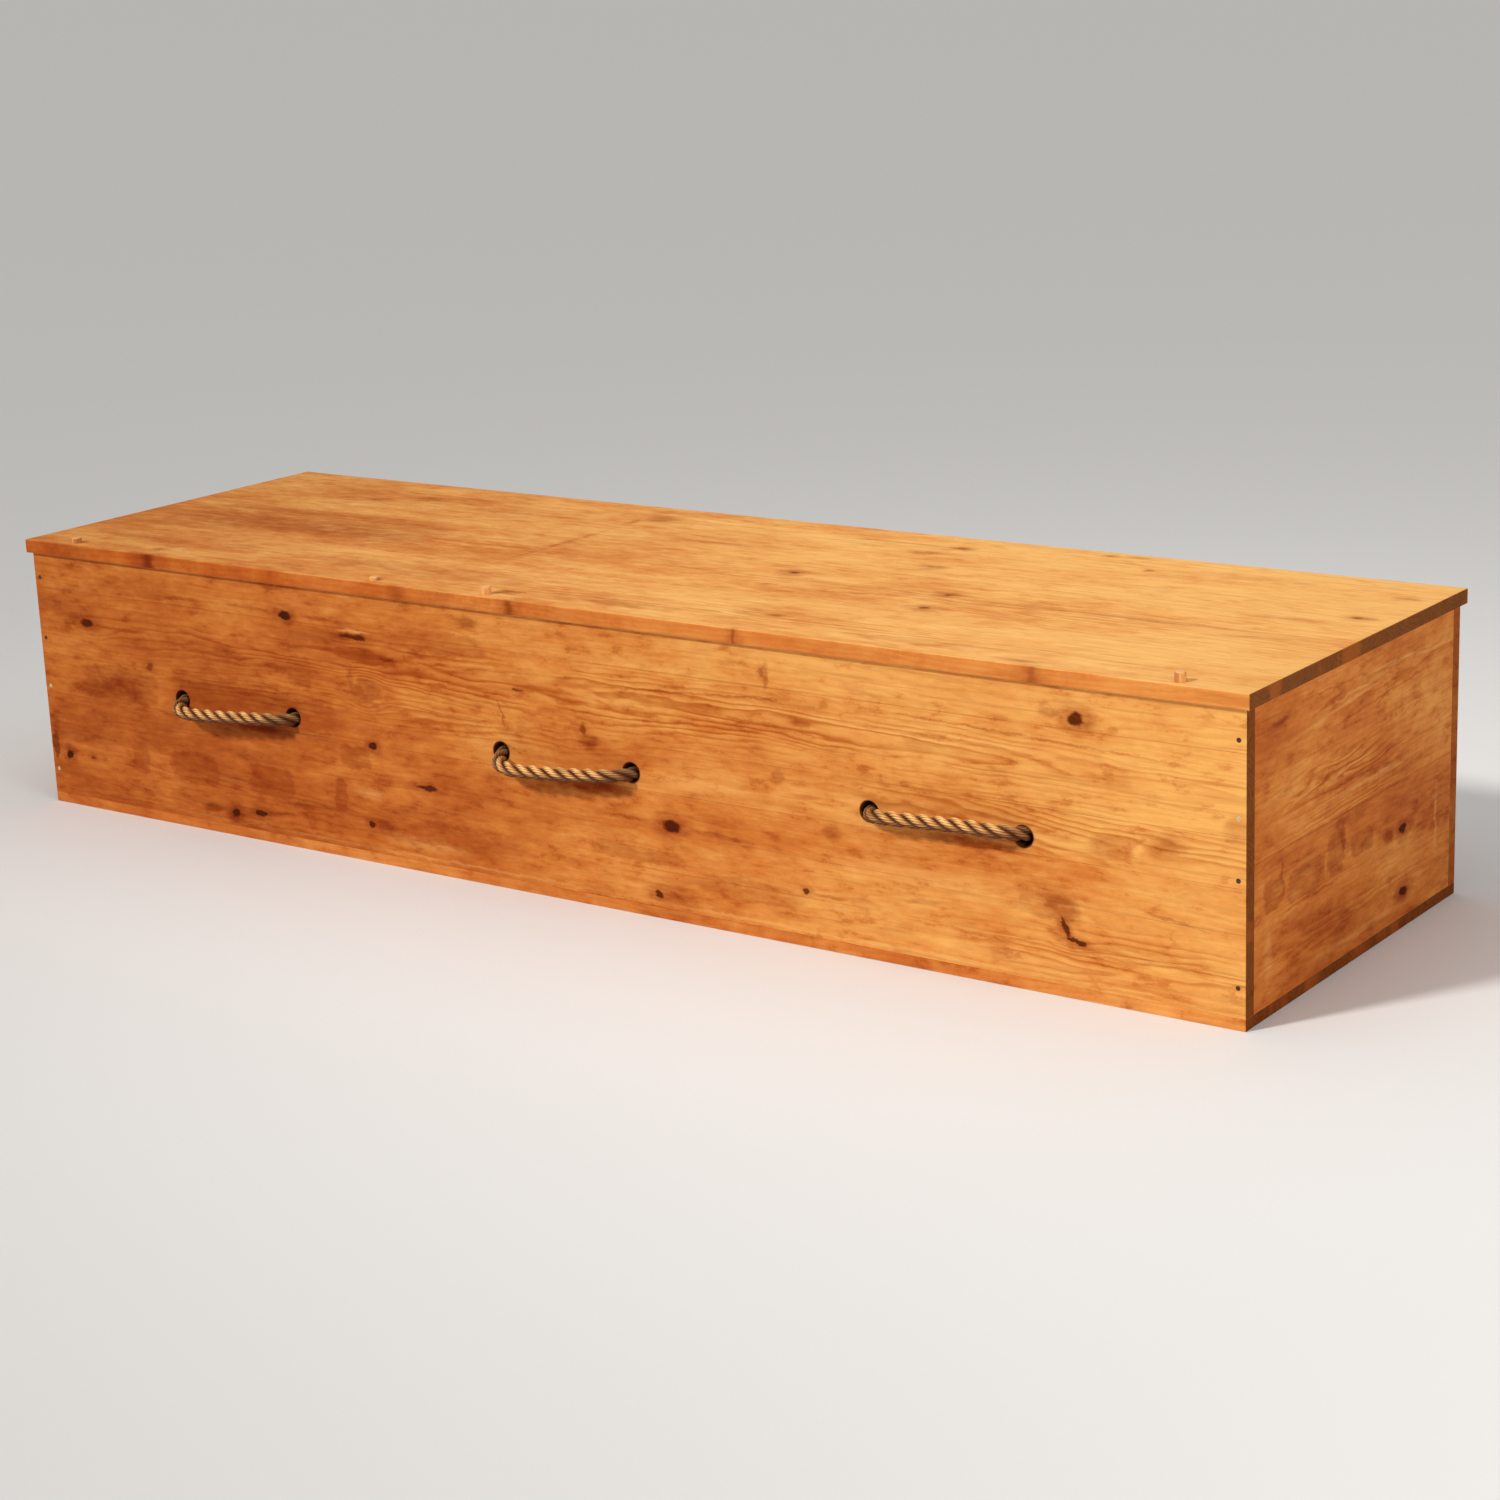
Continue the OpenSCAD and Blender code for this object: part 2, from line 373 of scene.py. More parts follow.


# ---------------------------------------------------------------- pine

# Each cut, in millimetres and degrees:
# axes: which axes run along, through and across the board
# span, face: its lowest and highest edge, and where its outer face lies
# lift: how much lighter its red, green and blue are than the settings
# crisp, ends, flecks: how sharp its knots are, how dark its sawn ends are, and how
#     strong the flecks across its grain are
# planks: from the lowest up, (upper edge, height of pith, depth of pith, depth of colour)
# lengthways: depth of colour, from place to place along the board; on the front
#     and the lid the darkening towards the left end is partly the wood's own tone and
#     partly painted shade where the light falls off
# the rest are marks: (along, across, half length, half height, strength, turn)
#     ringed where ring lines show, swirls where grain bends, dark knots and cracks,
#     brown stains (on the front, three of them are painted shadow under the rope handles),
#     red squarish blotches, light streaks
FRONT = dict(
    axes=(0, 1, 2), span=(15, 385), face=-295, seed=1.7, lift=(1, 1.05, 1.03), crisp=0.55, ends=0.9,
    flecks=0.42,
    planks=[
        (66, 46, 30, 0.56), (117, 110, 64, 0.56), (172, 205, 90, 0.62), (232, 180, 42, 0.5),
        (333, 294, 14, 0.46), (385, 420, 70, 0.38),
    ],
    # Darker towards the left end: partly the wood's own tone, partly painted shade where the light falls
    # off.
    lengthways=[
        (-1000, 0.64), (-500, 0.62), (-250, 0.48), (0, 0.4), (300, 0.3), (600, 0.18), (1000, 0.06),
    ],
    ringed=[
        (0, 285, 1200, 52, 1), (700, 200, 520, 50, 0.75), (-600, 60, 500, 40, 0.35),
        (850, 60, 300, 50, 0.7), (-300, 225, 600, 30, 0.6),
    ],
    swirls=[
        (-490, 341, 60, 16, 0.8), (-362, 322, 60, 16, 0.7), (-880, 292, 70, 34, 0.9),
        (-962, 78, 36, 20, 0.8), (-618, 34, 40, 16, 0.8), (-567, 41, 40, 14, 0.7),
        (-338, 170, 40, 18, 0.7), (-345, 247, 60, 42, 0.85), (178, 129, 80, 28, 0.9),
        (778, 347, 64, 26, 0.9), (772, 88, 56, 40, 0.95), (860, 200, 90, 34, 0.6),
        (340, 294, 170, 16, 0.6), (-242, 123, 45, 12, 0.6), (-150, 362, 46, 24, 0.8),
    ],
    dark=[
        (-490, 341, 13, 9, 1), (-362, 323, 30, 4.2, 0.8), (-897, 287, 19, 8, 0.9), (-962, 78, 10, 9.5, 1),
        (-910, 79, 7, 4, 0.6), (-618, 34, 10, 9, 1), (-567, 41, 15, 6, 0.9), (-338, 170, 9, 7.5, 0.95),
        (-350, 56, 9, 7, 0.9), (-242, 123, 24, 5, 0.85), (178, 129, 18, 11, 0.95), (387, 74, 7, 5, 0.8),
        (152, 33, 8, 6, 0.85), (778, 347, 14, 11, 0.9), (762, 88, 5, 17, 0.85, 28),
        (778, 73, 19, 4.5, 0.85, -14), (-770, 235, 9, 7, 0.5), (-70, 282, 13, 2.4, 0.6),
        (-990, 90, 9, 28, 0.6), (330, 352, 4, 7, 0.4),
    ],
    brown=[
        (-490, 341, 30, 15, 0.6), (-900, 290, 58, 20, 0.6), (-832, 200, 88, 32, 0.6),
        (-900, 186, 60, 16, 0.6), (-345, 247, 34, 26, 0.75), (-372, 262, 8, 22, 0.5),
        (-330, 56, 30, 13, 0.65), (47, 228, 24, 12, 0.85), (38, 240, 7, 16, 0.8), (178, 129, 34, 18, 0.7),
        (172, 36, 58, 20, 0.6), (820, 197, 40, 22, 0.45), (898, 205, 36, 24, 0.5),
        (990, 240, 26, 24, 0.5), (430, 160, 20, 17, 0.55), (-665, 36, 26, 10, 0.65),
        (335, 348, 8, 26, 0.6), (388, 292, 24, 7, 0.55), (350, 220, 14, 14, 0.5, 30),
        (-150, 365, 24, 14, 0.6), (790, 347, 30, 18, 0.55), (745, 350, 26, 9, 0.5),
        (758, 112, 30, 20, 0.6), (-101, 246, 3, 26, 0.6, 18), (540, 236, 14, 6, 0.4),
        (-560, 345, 62, 4, 0.6), (-428, 343, 40, 4, 0.55), (-835, 284, 100, 3.4, 0.55),
        (-535, 45, 46, 4, 0.6, 8), (245, 127, 74, 5, 0.6, -2), (100, 131, 56, 5, 0.6),
        (422, 72, 34, 4, 0.5), (230, 312, 230, 2.4, 0.5, 3.4), (700, 317, 310, 2.4, 0.5, -2),
        (-200, 300, 210, 2.4, 0.4, 2), (340, 283, 150, 2, 0.4, -4), (-700, 344, 70, 4, 0.4),
        (560, 88, 40, 4, 0.4, 6), (640, 60, 90, 3, 0.4, -3), (905, 120, 60, 3, 0.45, -8),
        # The first three marks on the next line are painted shadow under the rope handles.
        (-566, 171, 84, 14, 1), (38, 166, 92, 16, 1), (634, 175, 88, 12, 0.9), (850, 60, 110, 3, 0.4, 2),
        (0, 14, 1000, 2.6, 0.5),
    ],
    red=[
        (-808, 92, 20, 26, 0.6), (-694, 91, 54, 26, 0.72), (-540, 91, 48, 26, 0.72),
        (-406, 92, 13, 26, 0.75), (-375, 150, 32, 18, 0.6), (-560, 200, 180, 26, 0.6),
        (-836, 200, 84, 30, 0.5), (-640, 258, 110, 26, 0.15), (-940, 130, 60, 34, 0.4),
        (-180, 60, 110, 20, 0.4), (-640, 20, 330, 7, 0.5), (740, 118, 46, 26, 0.28),
        (120, 84, 80, 12, 0.4), (-200, 330, 80, 18, 0.35), (-790, 350, 90, 14, 0.35),
        (300, 60, 90, 16, 0.3), (60, 172, 60, 8, 0.35), (-470, 262, 26, 26, 0.4),
    ],
    light=[
        (-362, 331, 38, 4, 0.75), (858, 201, 12, 26, 0.5), (-300, 22, 700, 3, 0.35),
        (420, 22, 580, 4, 0.4), (600, 300, 330, 10, 0.35), (560, 120, 200, 16, 0.25),
        (-490, 350, 22, 3, 0.5), (-250, 40, 110, 14, 0.35), (230, 190, 130, 12, 0.35),
        (700, 40, 200, 14, 0.35), (-350, 100, 40, 12, 0.4), (550, 350, 250, 14, 0.35),
    ],
)

LID = dict(
    axes=(0, 2, 1), span=(-302, 302), face=405, seed=7.3, lift=(1.07, 1.24, 1.45), crisp=0.0, ends=0.9,
    flecks=0.1,
    planks=[
        (-205, -260, 60, 0.5), (-128, -240, 80, 0.45), (-30, -60, 18, 0.56), (58, 10, 46, 0.5),
        (150, 190, 90, 0.42), (232, 260, 36, 0.45), (302, 250, 52, 0.4),
    ],
    # Darker towards the left end: partly the wood's own tone, partly painted shade where the light falls
    # off.
    lengthways=[(-1007, 0.42), (-600, 0.36), (-250, 0.28), (200, 0.18), (600, 0.07), (1007, 0)],
    ringed=[(600, -40, 600, 90, 0.35), (-500, -30, 500, 110, 0.3), (300, -240, 700, 50, 0.4)],
    swirls=[
        (173, 4, 46, 16, 0.8), (177, -74, 40, 14, 0.7), (433, -21, 46, 16, 0.8), (447, -97, 46, 16, 0.8),
        (300, -217, 46, 16, 0.7), (325, 116, 40, 16, 0.7), (505, 279, 40, 14, 0.7),
        (955, 88, 40, 18, 0.7), (-217, 217, 50, 22, 0.8), (-725, 166, 50, 20, 0.6),
        (595, 219, 40, 14, 0.7),
    ],
    dark=[
        (173, 4, 14, 11, 0.85), (433, -21, 14, 10, 0.75), (447, -97, 15, 10, 0.75),
        (955, 88, 13, 10, 0.5), (-748, -302, 22, 5, 0.55), (-72, -302, 13, 5, 0.5),
        (294, -302, 6, 4, 0.5), (725, -302, 15, 5, 0.3),
    ],
    brown=[
        (-680, -48, 330, 62, 0.32), (-620, -26, 330, 20, 0.32), (-300, -30, 330, 12, 0.22),
        (640, -34, 330, 12, 0.24), (780, -34, 130, 10, 0.33), (100, -32, 400, 7, 0.15),
        (-725, 166, 36, 22, 0.83), (-652, 202, 48, 22, 0.75), (-380, 172, 110, 9, 0.39),
        (-217, 226, 46, 36, 0.8), (-245, 190, 12, 34, 0.6), (-243, 20, 9, 190, 0.4),
        (-60, 118, 130, 14, 0.33), (460, -97, 40, 12, 0.52), (960, 88, 36, 15, 0.8),
        (177, -74, 16, 12, 0.57), (300, -217, 18, 13, 0.68), (325, 116, 36, 20, 0.95),
        (967, 211, 30, 18, 0.6), (268, 190, 36, 18, 0.95), (296, 234, 32, 18, 0.9),
        (505, 279, 18, 13, 0.75), (545, 286, 30, 10, 0.45), (595, 219, 14, 12, 0.68),
        (870, 48, 90, 14, 0.31), (-850, -210, 130, 22, 0.33), (-760, -262, 26, 26, 0.6),
        (-105, -262, 22, 16, 0.68), (200, 236, 140, 10, 0.24), (560, -258, 130, 20, 0.31),
        (700, -282, 50, 14, 0.6), (-270, -302, 24, 8, 0.5), (725, -302, 26, 8, 0.5),
        (-748, -302, 40, 8, 0.55), (-930, -302, 90, 8, 0.45), (170, 200, 60, 8, 0.3),
        (-500, -260, 40, 10, 0.38),
    ],
    red=[
        (-700, -20, 280, 80, 0.25), (-300, -210, 200, 34, 0.2), (-104, -262, 24, 14, 0.45),
        (60, -250, 120, 16, 0.2), (300, -217, 24, 14, 0.2), (-850, -80, 100, 40, 0.2),
    ],
    light=[
        (-550, 84, 300, 12, 0.4), (-540, -150, 300, 16, 0.4), (300, 70, 500, 14, 0.35),
        (700, -200, 260, 34, 0.35), (600, 160, 300, 24, 0.35), (150, 100, 120, 14, 0.3),
        (540, -302, 4, 6, 0.6), (600, 10, 400, 10, 0.4), (-450, 250, 300, 20, 0.25),
    ],
)

RIGHT_END = dict(
    axes=(1, 0, 2), span=(15, 385), face=1000, seed=3.1, lift=(1.12, 1.2, 1.18), crisp=0.45, ends=0.9,
    flecks=0.4,
    planks=[
        (64, 30, 40, 0.52), (124, 150, 70, 0.52), (196, 240, 60, 0.54), (292, 250, 10, 0.38),
        (385, 300, 44, 0.42),
    ],
    lengthways=[(-275, 0.6), (0, 0.54), (275, 0.46)],
    ringed=[
        (-70, 252, 260, 34, 1), (60, 340, 260, 22, 0.9), (0, 205, 300, 14, 0.5), (0, 60, 300, 40, 0.4),
    ],
    swirls=[
        (130, 132, 44, 20, 0.8), (135, 49, 44, 16, 0.8), (-120, 258, 90, 26, 0.8), (40, 262, 70, 22, 0.8),
        (60, 345, 160, 12, 0.4), (-200, 250, 50, 24, 0.8),
    ],
    dark=[(130, 132, 12, 9, 0.95), (135, 49, 16, 8, 0.95), (280, 118, 5, 9, 0.6), (178, 8, 30, 8, 0.6)],
    brown=[
        (90, 132, 22, 15, 0.75), (150, 130, 26, 10, 0.5), (118, 49, 30, 7, 0.6), (265, 113, 22, 13, 0.55),
        (-140, 76, 24, 9, 0.35), (-40, 72, 24, 7, 0.3), (-210, 352, 30, 6, 0.45), (170, 152, 14, 12, 0.4),
        (-40, 166, 9, 26, 0.5), (-205, 170, 5, 22, 0.5), (-150, 172, 60, 3, 0.5),
        (-130, 118, 110, 3, 0.5), (90, 270, 22, 12, 0.3), (60, 318, 200, 2.4, 0.4, 3),
        (-80, 360, 180, 2.2, 0.35, -2), (20, 232, 210, 2.4, 0.4, -2), (0, 196, 280, 2, 0.35),
    ],
    red=[
        (-226, 148, 28, 20, 0.55), (-140, 142, 54, 22, 0.45), (-60, 152, 26, 30, 0.55),
        (12, 146, 34, 16, 0.5), (-20, 186, 50, 8, 0.4), (-120, 90, 60, 10, 0.35),
        (-220, 345, 26, 12, 0.4),
    ],
    light=[
        (150, 350, 130, 5, 0.7, -3), (0, 342, 140, 3.4, 0.5, 3), (-60, 330, 200, 4, 0.4, 4),
        (-30, 250, 120, 5, 0.45, 3), (40, 222, 200, 5, 0.45), (-140, 150, 30, 5, 0.35),
        (0, 34, 200, 7, 0.3), (-240, 80, 16, 60, 0.3), (230, 120, 6, 60, 0.4),
    ],
)

LEFT_END = dict(
    axes=(1, 0, 2), span=(15, 385), face=-1000, seed=11.9, lift=(1, 1.02, 1.08), crisp=0.5, ends=0.9,
    flecks=0.45,
    planks=[
        (92, 60, 50, 0.5), (160, 190, 60, 0.42), (252, 205, 22, 0.5), (330, 380, 60, 0.4),
        (385, 350, 46, 0.55),
    ],
    lengthways=[(-275, 0.62), (275, 0.5)],
    ringed=[(0, 214, 260, 60, 0.9), (40, 345, 260, 30, 0.6)],
    swirls=[(-120, 214, 50, 22, 0.8), (90, 300, 44, 18, 0.8), (60, 70, 50, 20, 0.8)],
    dark=[(-120, 214, 12, 9, 1), (90, 300, 9, 7, 0.9), (60, 70, 14, 7, 0.9), (-200, 120, 6, 5, 0.8)],
    brown=[
        (-120, 214, 36, 18, 0.6), (90, 300, 30, 15, 0.5), (60, 70, 40, 16, 0.6), (-30, 340, 50, 12, 0.35),
    ],
    red=[(-60, 120, 60, 30, 0.6), (150, 190, 50, 26, 0.5), (-200, 300, 44, 28, 0.4)],
    light=[(0, 230, 200, 12, 0.3), (-60, 30, 180, 10, 0.3)],
)

BACK = dict(
    axes=(0, 1, 2), span=(15, 385), face=295, seed=5.4, lift=(1, 1.02, 1.08), crisp=0.5, ends=0.4,
    flecks=0.45,
    planks=[
        (78, 20, 44, 0.5), (140, 120, 70, 0.42), (212, 260, 80, 0.5), (300, 250, 20, 0.38),
        (385, 400, 60, 0.48),
    ],
    lengthways=[(-1000, 0.3), (-300, 0.42), (400, 0.5), (1000, 0.62)],
    ringed=[(0, 250, 1200, 44, 1), (-400, 110, 600, 40, 0.6), (600, 350, 500, 30, 0.6)],
    swirls=[
        (-760, 256, 60, 24, 0.9), (-310, 104, 50, 20, 0.8), (260, 330, 54, 20, 0.8),
        (700, 90, 60, 24, 0.9), (880, 300, 46, 20, 0.8), (-200, 262, 160, 18, 0.6),
    ],
    dark=[
        (-760, 256, 14, 9, 1), (-310, 104, 10, 8, 0.95), (260, 330, 12, 7, 0.95), (700, 90, 13, 10, 1),
        (880, 300, 9, 7, 0.9), (-940, 60, 7, 6, 0.9), (60, 50, 8, 4, 0.8), (460, 262, 22, 3, 0.6),
    ],
    brown=[
        (-760, 256, 40, 20, 0.6), (-310, 104, 34, 16, 0.55), (260, 330, 36, 16, 0.5),
        (700, 90, 40, 22, 0.6), (880, 300, 30, 16, 0.5), (120, 120, 60, 14, 0.35),
    ],
    red=[
        (-520, 110, 60, 26, 0.6), (-80, 175, 70, 28, 0.5), (420, 110, 50, 26, 0.6),
        (560, 350, 90, 20, 0.4), (-860, 340, 60, 20, 0.4),
    ],
    light=[(-300, 240, 300, 12, 0.3), (500, 200, 300, 14, 0.3)],
)

BOTTOM = dict(
    axes=(0, 2, 1), span=(-295, 295), face=0, seed=13.2, lift=(1, 1, 1), crisp=0.5, ends=0.9, flecks=0.5,
    planks=[
        (-196, -250, 50, 0.5), (-90, -150, 30, 0.4), (10, 60, 70, 0.5), (112, 60, 24, 0.42),
        (205, 260, 60, 0.52), (295, 250, 40, 0.44),
    ],
    lengthways=[(-1000, 0.5), (1000, 0.3)],
    ringed=[(0, -150, 1200, 60, 0.9), (0, 112, 1200, 50, 0.8)],
    swirls=[
        (-600, -120, 60, 24, 0.9), (200, 60, 60, 24, 0.9), (740, -230, 50, 20, 0.8),
        (-220, 240, 50, 20, 0.8),
    ],
    dark=[(-600, -120, 14, 9, 1), (200, 60, 12, 9, 1), (740, -230, 10, 7, 0.9), (-220, 240, 10, 8, 0.9)],
    brown=[
        (-600, -120, 40, 20, 0.6), (200, 60, 36, 20, 0.6), (740, -230, 30, 16, 0.5),
        (-220, 240, 30, 16, 0.5),
    ],
    red=[(-300, 0, 120, 40, 0.4), (500, 150, 100, 36, 0.4)],
    light=[(0, -40, 500, 14, 0.3)],
)


def placed(lay, mark, grow=1.0):
    """Lays a texture's own mapping over a mark: middle, turn and size."""
    along, across, length, height, _, *turn = mark
    lay.vector_type = "TEXTURE"
    lay.translation = (along / 1000, 0, across / 1000)
    lay.rotation = (0, -math.radians(turn[0]) if turn else 0, 0)
    lay.scale = (length * grow / 1000, 1000, height * grow / 1000)


def nearness(place, mark, grow=1.0):
    """1 at the middle of an oval mark, falling evenly to 0 at its rim."""
    near = place.node("ShaderNodeTexGradient", {"gradient_type": "SPHERICAL"}, {0: place}, 1)
    placed(near.socket.node.texture_mapping, mark, grow)
    return near


def higher(found, here):
    """The greater of two wires; the first one may not be there yet."""
    return here if found is None else found.sum("MAXIMUM", found, here)


def strongest(place, marks, edge):
    """The strongest of several oval marks at this place, 0 away from them all."""
    found = None
    for mark in marks:
        found = higher(found, nearness(place, mark).between(0.0, 1 - edge, 0.0, mark[4]))
    return found


def blocky(place, marks):
    """The strongest of several squarish blotches at this place."""
    found = None
    for mark in marks:
        along, across, length, height, strength = mark
        reach = place.stretch(1000 / length, 0, 1000 / height, (-along / length, 0, -across / height))
        reach = reach.vector("MULTIPLY", reach).vector("LENGTH", out="Value")
        found = higher(found, reach.between(1.0, 0.66, 0.0, strength))
    return found


def knots(place, marks, crisp):
    """The knots' hearts, and the stained wood round each one."""
    heart = halo = None
    for mark in marks:
        close = nearness(place, mark, 2.5)
        here = close.between(0.6, 1 - crisp / 2.5, 0.0, mark[4])
        near = close.between(0.0, 0.64, 0.0, mark[4] * 0.6)
        heart, halo = higher(heart, here), higher(halo, near)
    return heart, halo


def pine(name, cut, edge_colour=None, rims=()):
    """Oiled pine of glued planks, cut from rings that run round each plank's pith."""
    wood = bpy.context.scene.coffin_wood
    material, start, surface = new_material(name)
    low, high = (x / 1000 for x in cut["span"])
    split = at(start).split()
    along, through, across = (split.also(i) for i in cut["axes"])
    place = gather(start, along, through, across)
    seeded = place.stretch(1, 1, 1, (cut["seed"], cut["seed"] * 2, cut["seed"] * 3))

    # Grain bends round the knots and wanders along the board.
    flow = across
    for mark in cut["swirls"]:
        flow = flow - (across - mark[1] / 1000) * nearness(place, mark).between(0.0, 0.9, 0.0, mark[4])
    flow = flow + (seeded.stretch(1.5, 3, 5).noise(1, 1) - 0.5) * 0.034
    flow = flow + (seeded.stretch(11, 14, 30).noise(1, 3, 0.6) - 0.5) * 0.013

    # Planks: where each one's pith lies, and how deep its colour is.
    reach = high - low
    stops, edge = [], low * 1000
    for top, pith, depth, tone in cut["planks"]:
        values = ((pith / 1000 - low) / reach * 0.5 + 0.25, depth / 200, tone)
        stops.append(((edge / 1000 - low) / reach, values, "step"))
        edge = top
    plank = graded((across - low) / reach, stops)
    parts = start.node("ShaderNodeSeparateColor", None, {0: plank})
    pith_height = (parts - 0.25) * (2 * reach) + low
    pith_depth = parts.also(1) * 0.2
    tone = parts.also(2)
    bow = gather(start, along * 1.4 + cut["seed"], parts * 60, tone * 40)
    bow = start.node("ShaderNodeSeparateColor", None, {0: bow.noise(1, 1, 0.5, 1)})
    inwards = 1 if cut["face"] < 0 else -1
    depth = pith_depth + (bow.also(1) - 0.5) * 0.05 + (through - cut["face"] / 1000) * inwards
    height = flow - pith_height - (bow - 0.5) * 0.09
    radius = (height * height + depth * depth) ** 0.5
    ring = radius / wood.ring_gap + (seeded.stretch(3, 10, 24).noise(1, 3, 0.6) - 0.5) * 4.5
    ring = ring.sum("FRACT", ring)
    line = graded(ring, [(0, 0.4), (0.14, 0.0), (0.45, 0.1), (0.7, 0.6), (0.86, 1.0), (0.97, 0.75)])
    ringed = strongest(place, cut["ringed"], 0.3) * 0.85 + 0.22
    patchy = seeded.stretch(4, 9, 26).noise(1, 3, 0.65).between(0.32, 0.52)
    line = line * patchy * ringed

    # Fibres, pores and the oil's mottling.
    fibre = seeded.stretch(6, 60, 170).noise(1, 4, 0.65)
    fine = seeded.stretch(22, 300, 1100).noise(1, 2, 0.6)
    mottle = seeded.stretch(26, 32, 66).noise(1, 4, 0.68)
    cloud = seeded.stretch(4.5, 6, 13).noise(1, 4, 0.6)
    first, last = cut["lengthways"][0][0], cut["lengthways"][-1][0]
    stops = [((x - first) / (last - first), v) for x, v in cut["lengthways"]]
    deep = graded((along * 1000 - first) / (last - first), stops)
    soak = deep + (tone - 0.45) * 0.9 + (cloud - 0.5) * 1.1 + (mottle - 0.5) * 0.7 + (fibre - 0.5) * 0.8
    tints = (wood.pale, wood.honey, wood.tawny, wood.amber, wood.deep)
    tints = [(i / 4, tuple(a * b for a, b in zip(tint, cut["lift"]))) for i, tint in enumerate(tints)]
    shade = graded(soak, tints)

    # Marks have crooked edges.
    crooked = seeded.stretch(46, 46, 80).noise(1, 4, 0.65, 1)
    centred = crooked.vector("SUBTRACT", (0.5, 0.5, 0.5))
    marked = centred.vector("MULTIPLY_ADD", (0.02, 0, 0.011), place)
    strayed = centred.vector("MULTIPLY_ADD", (0.03, 0, 0.02), place)
    dark, halo = knots(marked, cut["dark"], cut["crisp"])
    brown = strongest(marked, cut["brown"], 0.35 if cut["crisp"] else 0.0)
    red = blocky(strayed, cut["red"])
    light = strongest(marked, cut["light"], 0.2)
    # Blotches that come by themselves, flecked across the grain.
    blush = seeded.stretch(10, 10, 26).noise(1, 5, 0.66)
    blush = blush.between(0.56, 0.64, 0.0, 0.4) * (deep * 0.6 + 0.3)
    fleck = mottle.between(0.56, 0.68)
    grit = mottle.between(0.3, 0.6, 0.55, 1.0)

    pale = fibre.between(0.54, 0.72) * (1 - deep) * 0.3 + light * (1 - deep * 0.45)
    shade = shade.mix(pale.sum("MINIMUM", pale, 1.0), rgb(wood.gleam))
    shade = shade.mix(red.sum("MAXIMUM", red, blush) * grit, rgb(wood.red))
    shade = shade.mix(line, rgb(wood.line), "MULTIPLY")
    shade = shade.mix(fleck * cut["flecks"], rgb(wood.line), "MULTIPLY")
    shade = shade.mix(fibre.between(0.5, 0.3, 0.0, 0.5), rgb(wood.line), "MULTIPLY")
    # Brown stains and knot halos; on the front this also lays the painted shadow under the rope handles.
    shade = shade.mix(brown.sum("MAXIMUM", brown, halo) * grit, rgb(wood.stain_and_shadow), "MULTIPLY")
    shade = shade.mix(dark, rgb(wood.stain_and_shadow), "MULTIPLY")
    shade = shade.mix(dark * dark * mottle.between(0.64, 0.54, 0.7, 1.0), rgb(wood.knot))

    # Glued joints between the planks.
    for top, *_ in cut["planks"][:-1]:
        gap = abs(across - top / 1000)
        shade = shade.mix(gap.between(wood.joint, 0.0, 0.0, 0.4) * patchy, rgb(wood.brown))

    # Ends and edges by the way that they face.
    facing = at(start, "Normal").split()
    end_axis, deep_axis, edge_axis = (facing.also(i) for i in cut["axes"])
    bands = abs(ring * 2 - 1)
    end_colour = blend(bands * 0.5 + (mottle - 0.4), wood.end_grain, wood.knot)
    end_colour = end_colour.mix(cloud.between(0.5, 0.65, 0.0, 0.5), rgb(wood.amber))
    at_end = abs(end_axis).between(0.5, 0.8)
    at_edge = abs(edge_axis).between(0.5, 0.8)
    if edge_colour is not None:
        shade = shade.mix(at_edge, rgb(edge_colour), "MULTIPLY")
        shade = shade.mix(at_edge * deep, rgb(edge_colour), "MULTIPLY")
    inside = (deep_axis * inwards).between(0.5, 0.8)
    shade = shade.mix(inside * 0.4, rgb(wood.bare))
    shade = shade.mix(at_end * cut["ends"], end_colour)
    # The sawn rims of the holes.
    for middle, height_up, radius_ in rims:
        near = nearness(place, (middle, height_up, radius_ * 2, radius_ * 2, 1))
        near = near.between(0.5 - 1.3 / radius_, 0.5 - 0.4 / radius_, 0.0, 0.85)
        shade = shade.mix(near, rgb(wood.knot))

    join(start, surface, "Base Color", shade)
    rough = wood.gloss + line * 0.1 + (fine - 0.5) * 0.16 + dark * 0.14 + at_end * 0.22 + inside * 0.12
    join(start, surface, "Roughness", rough)
    surface.inputs["Specular IOR Level"].default_value = wood.oil
    relief = line * -0.35 + fine * 0.4 + fibre * 0.5 - dark * 0.5
    bump(start, surface, relief, wood.relief)
    return material


# ---------------------------------------------------------------- other finishes


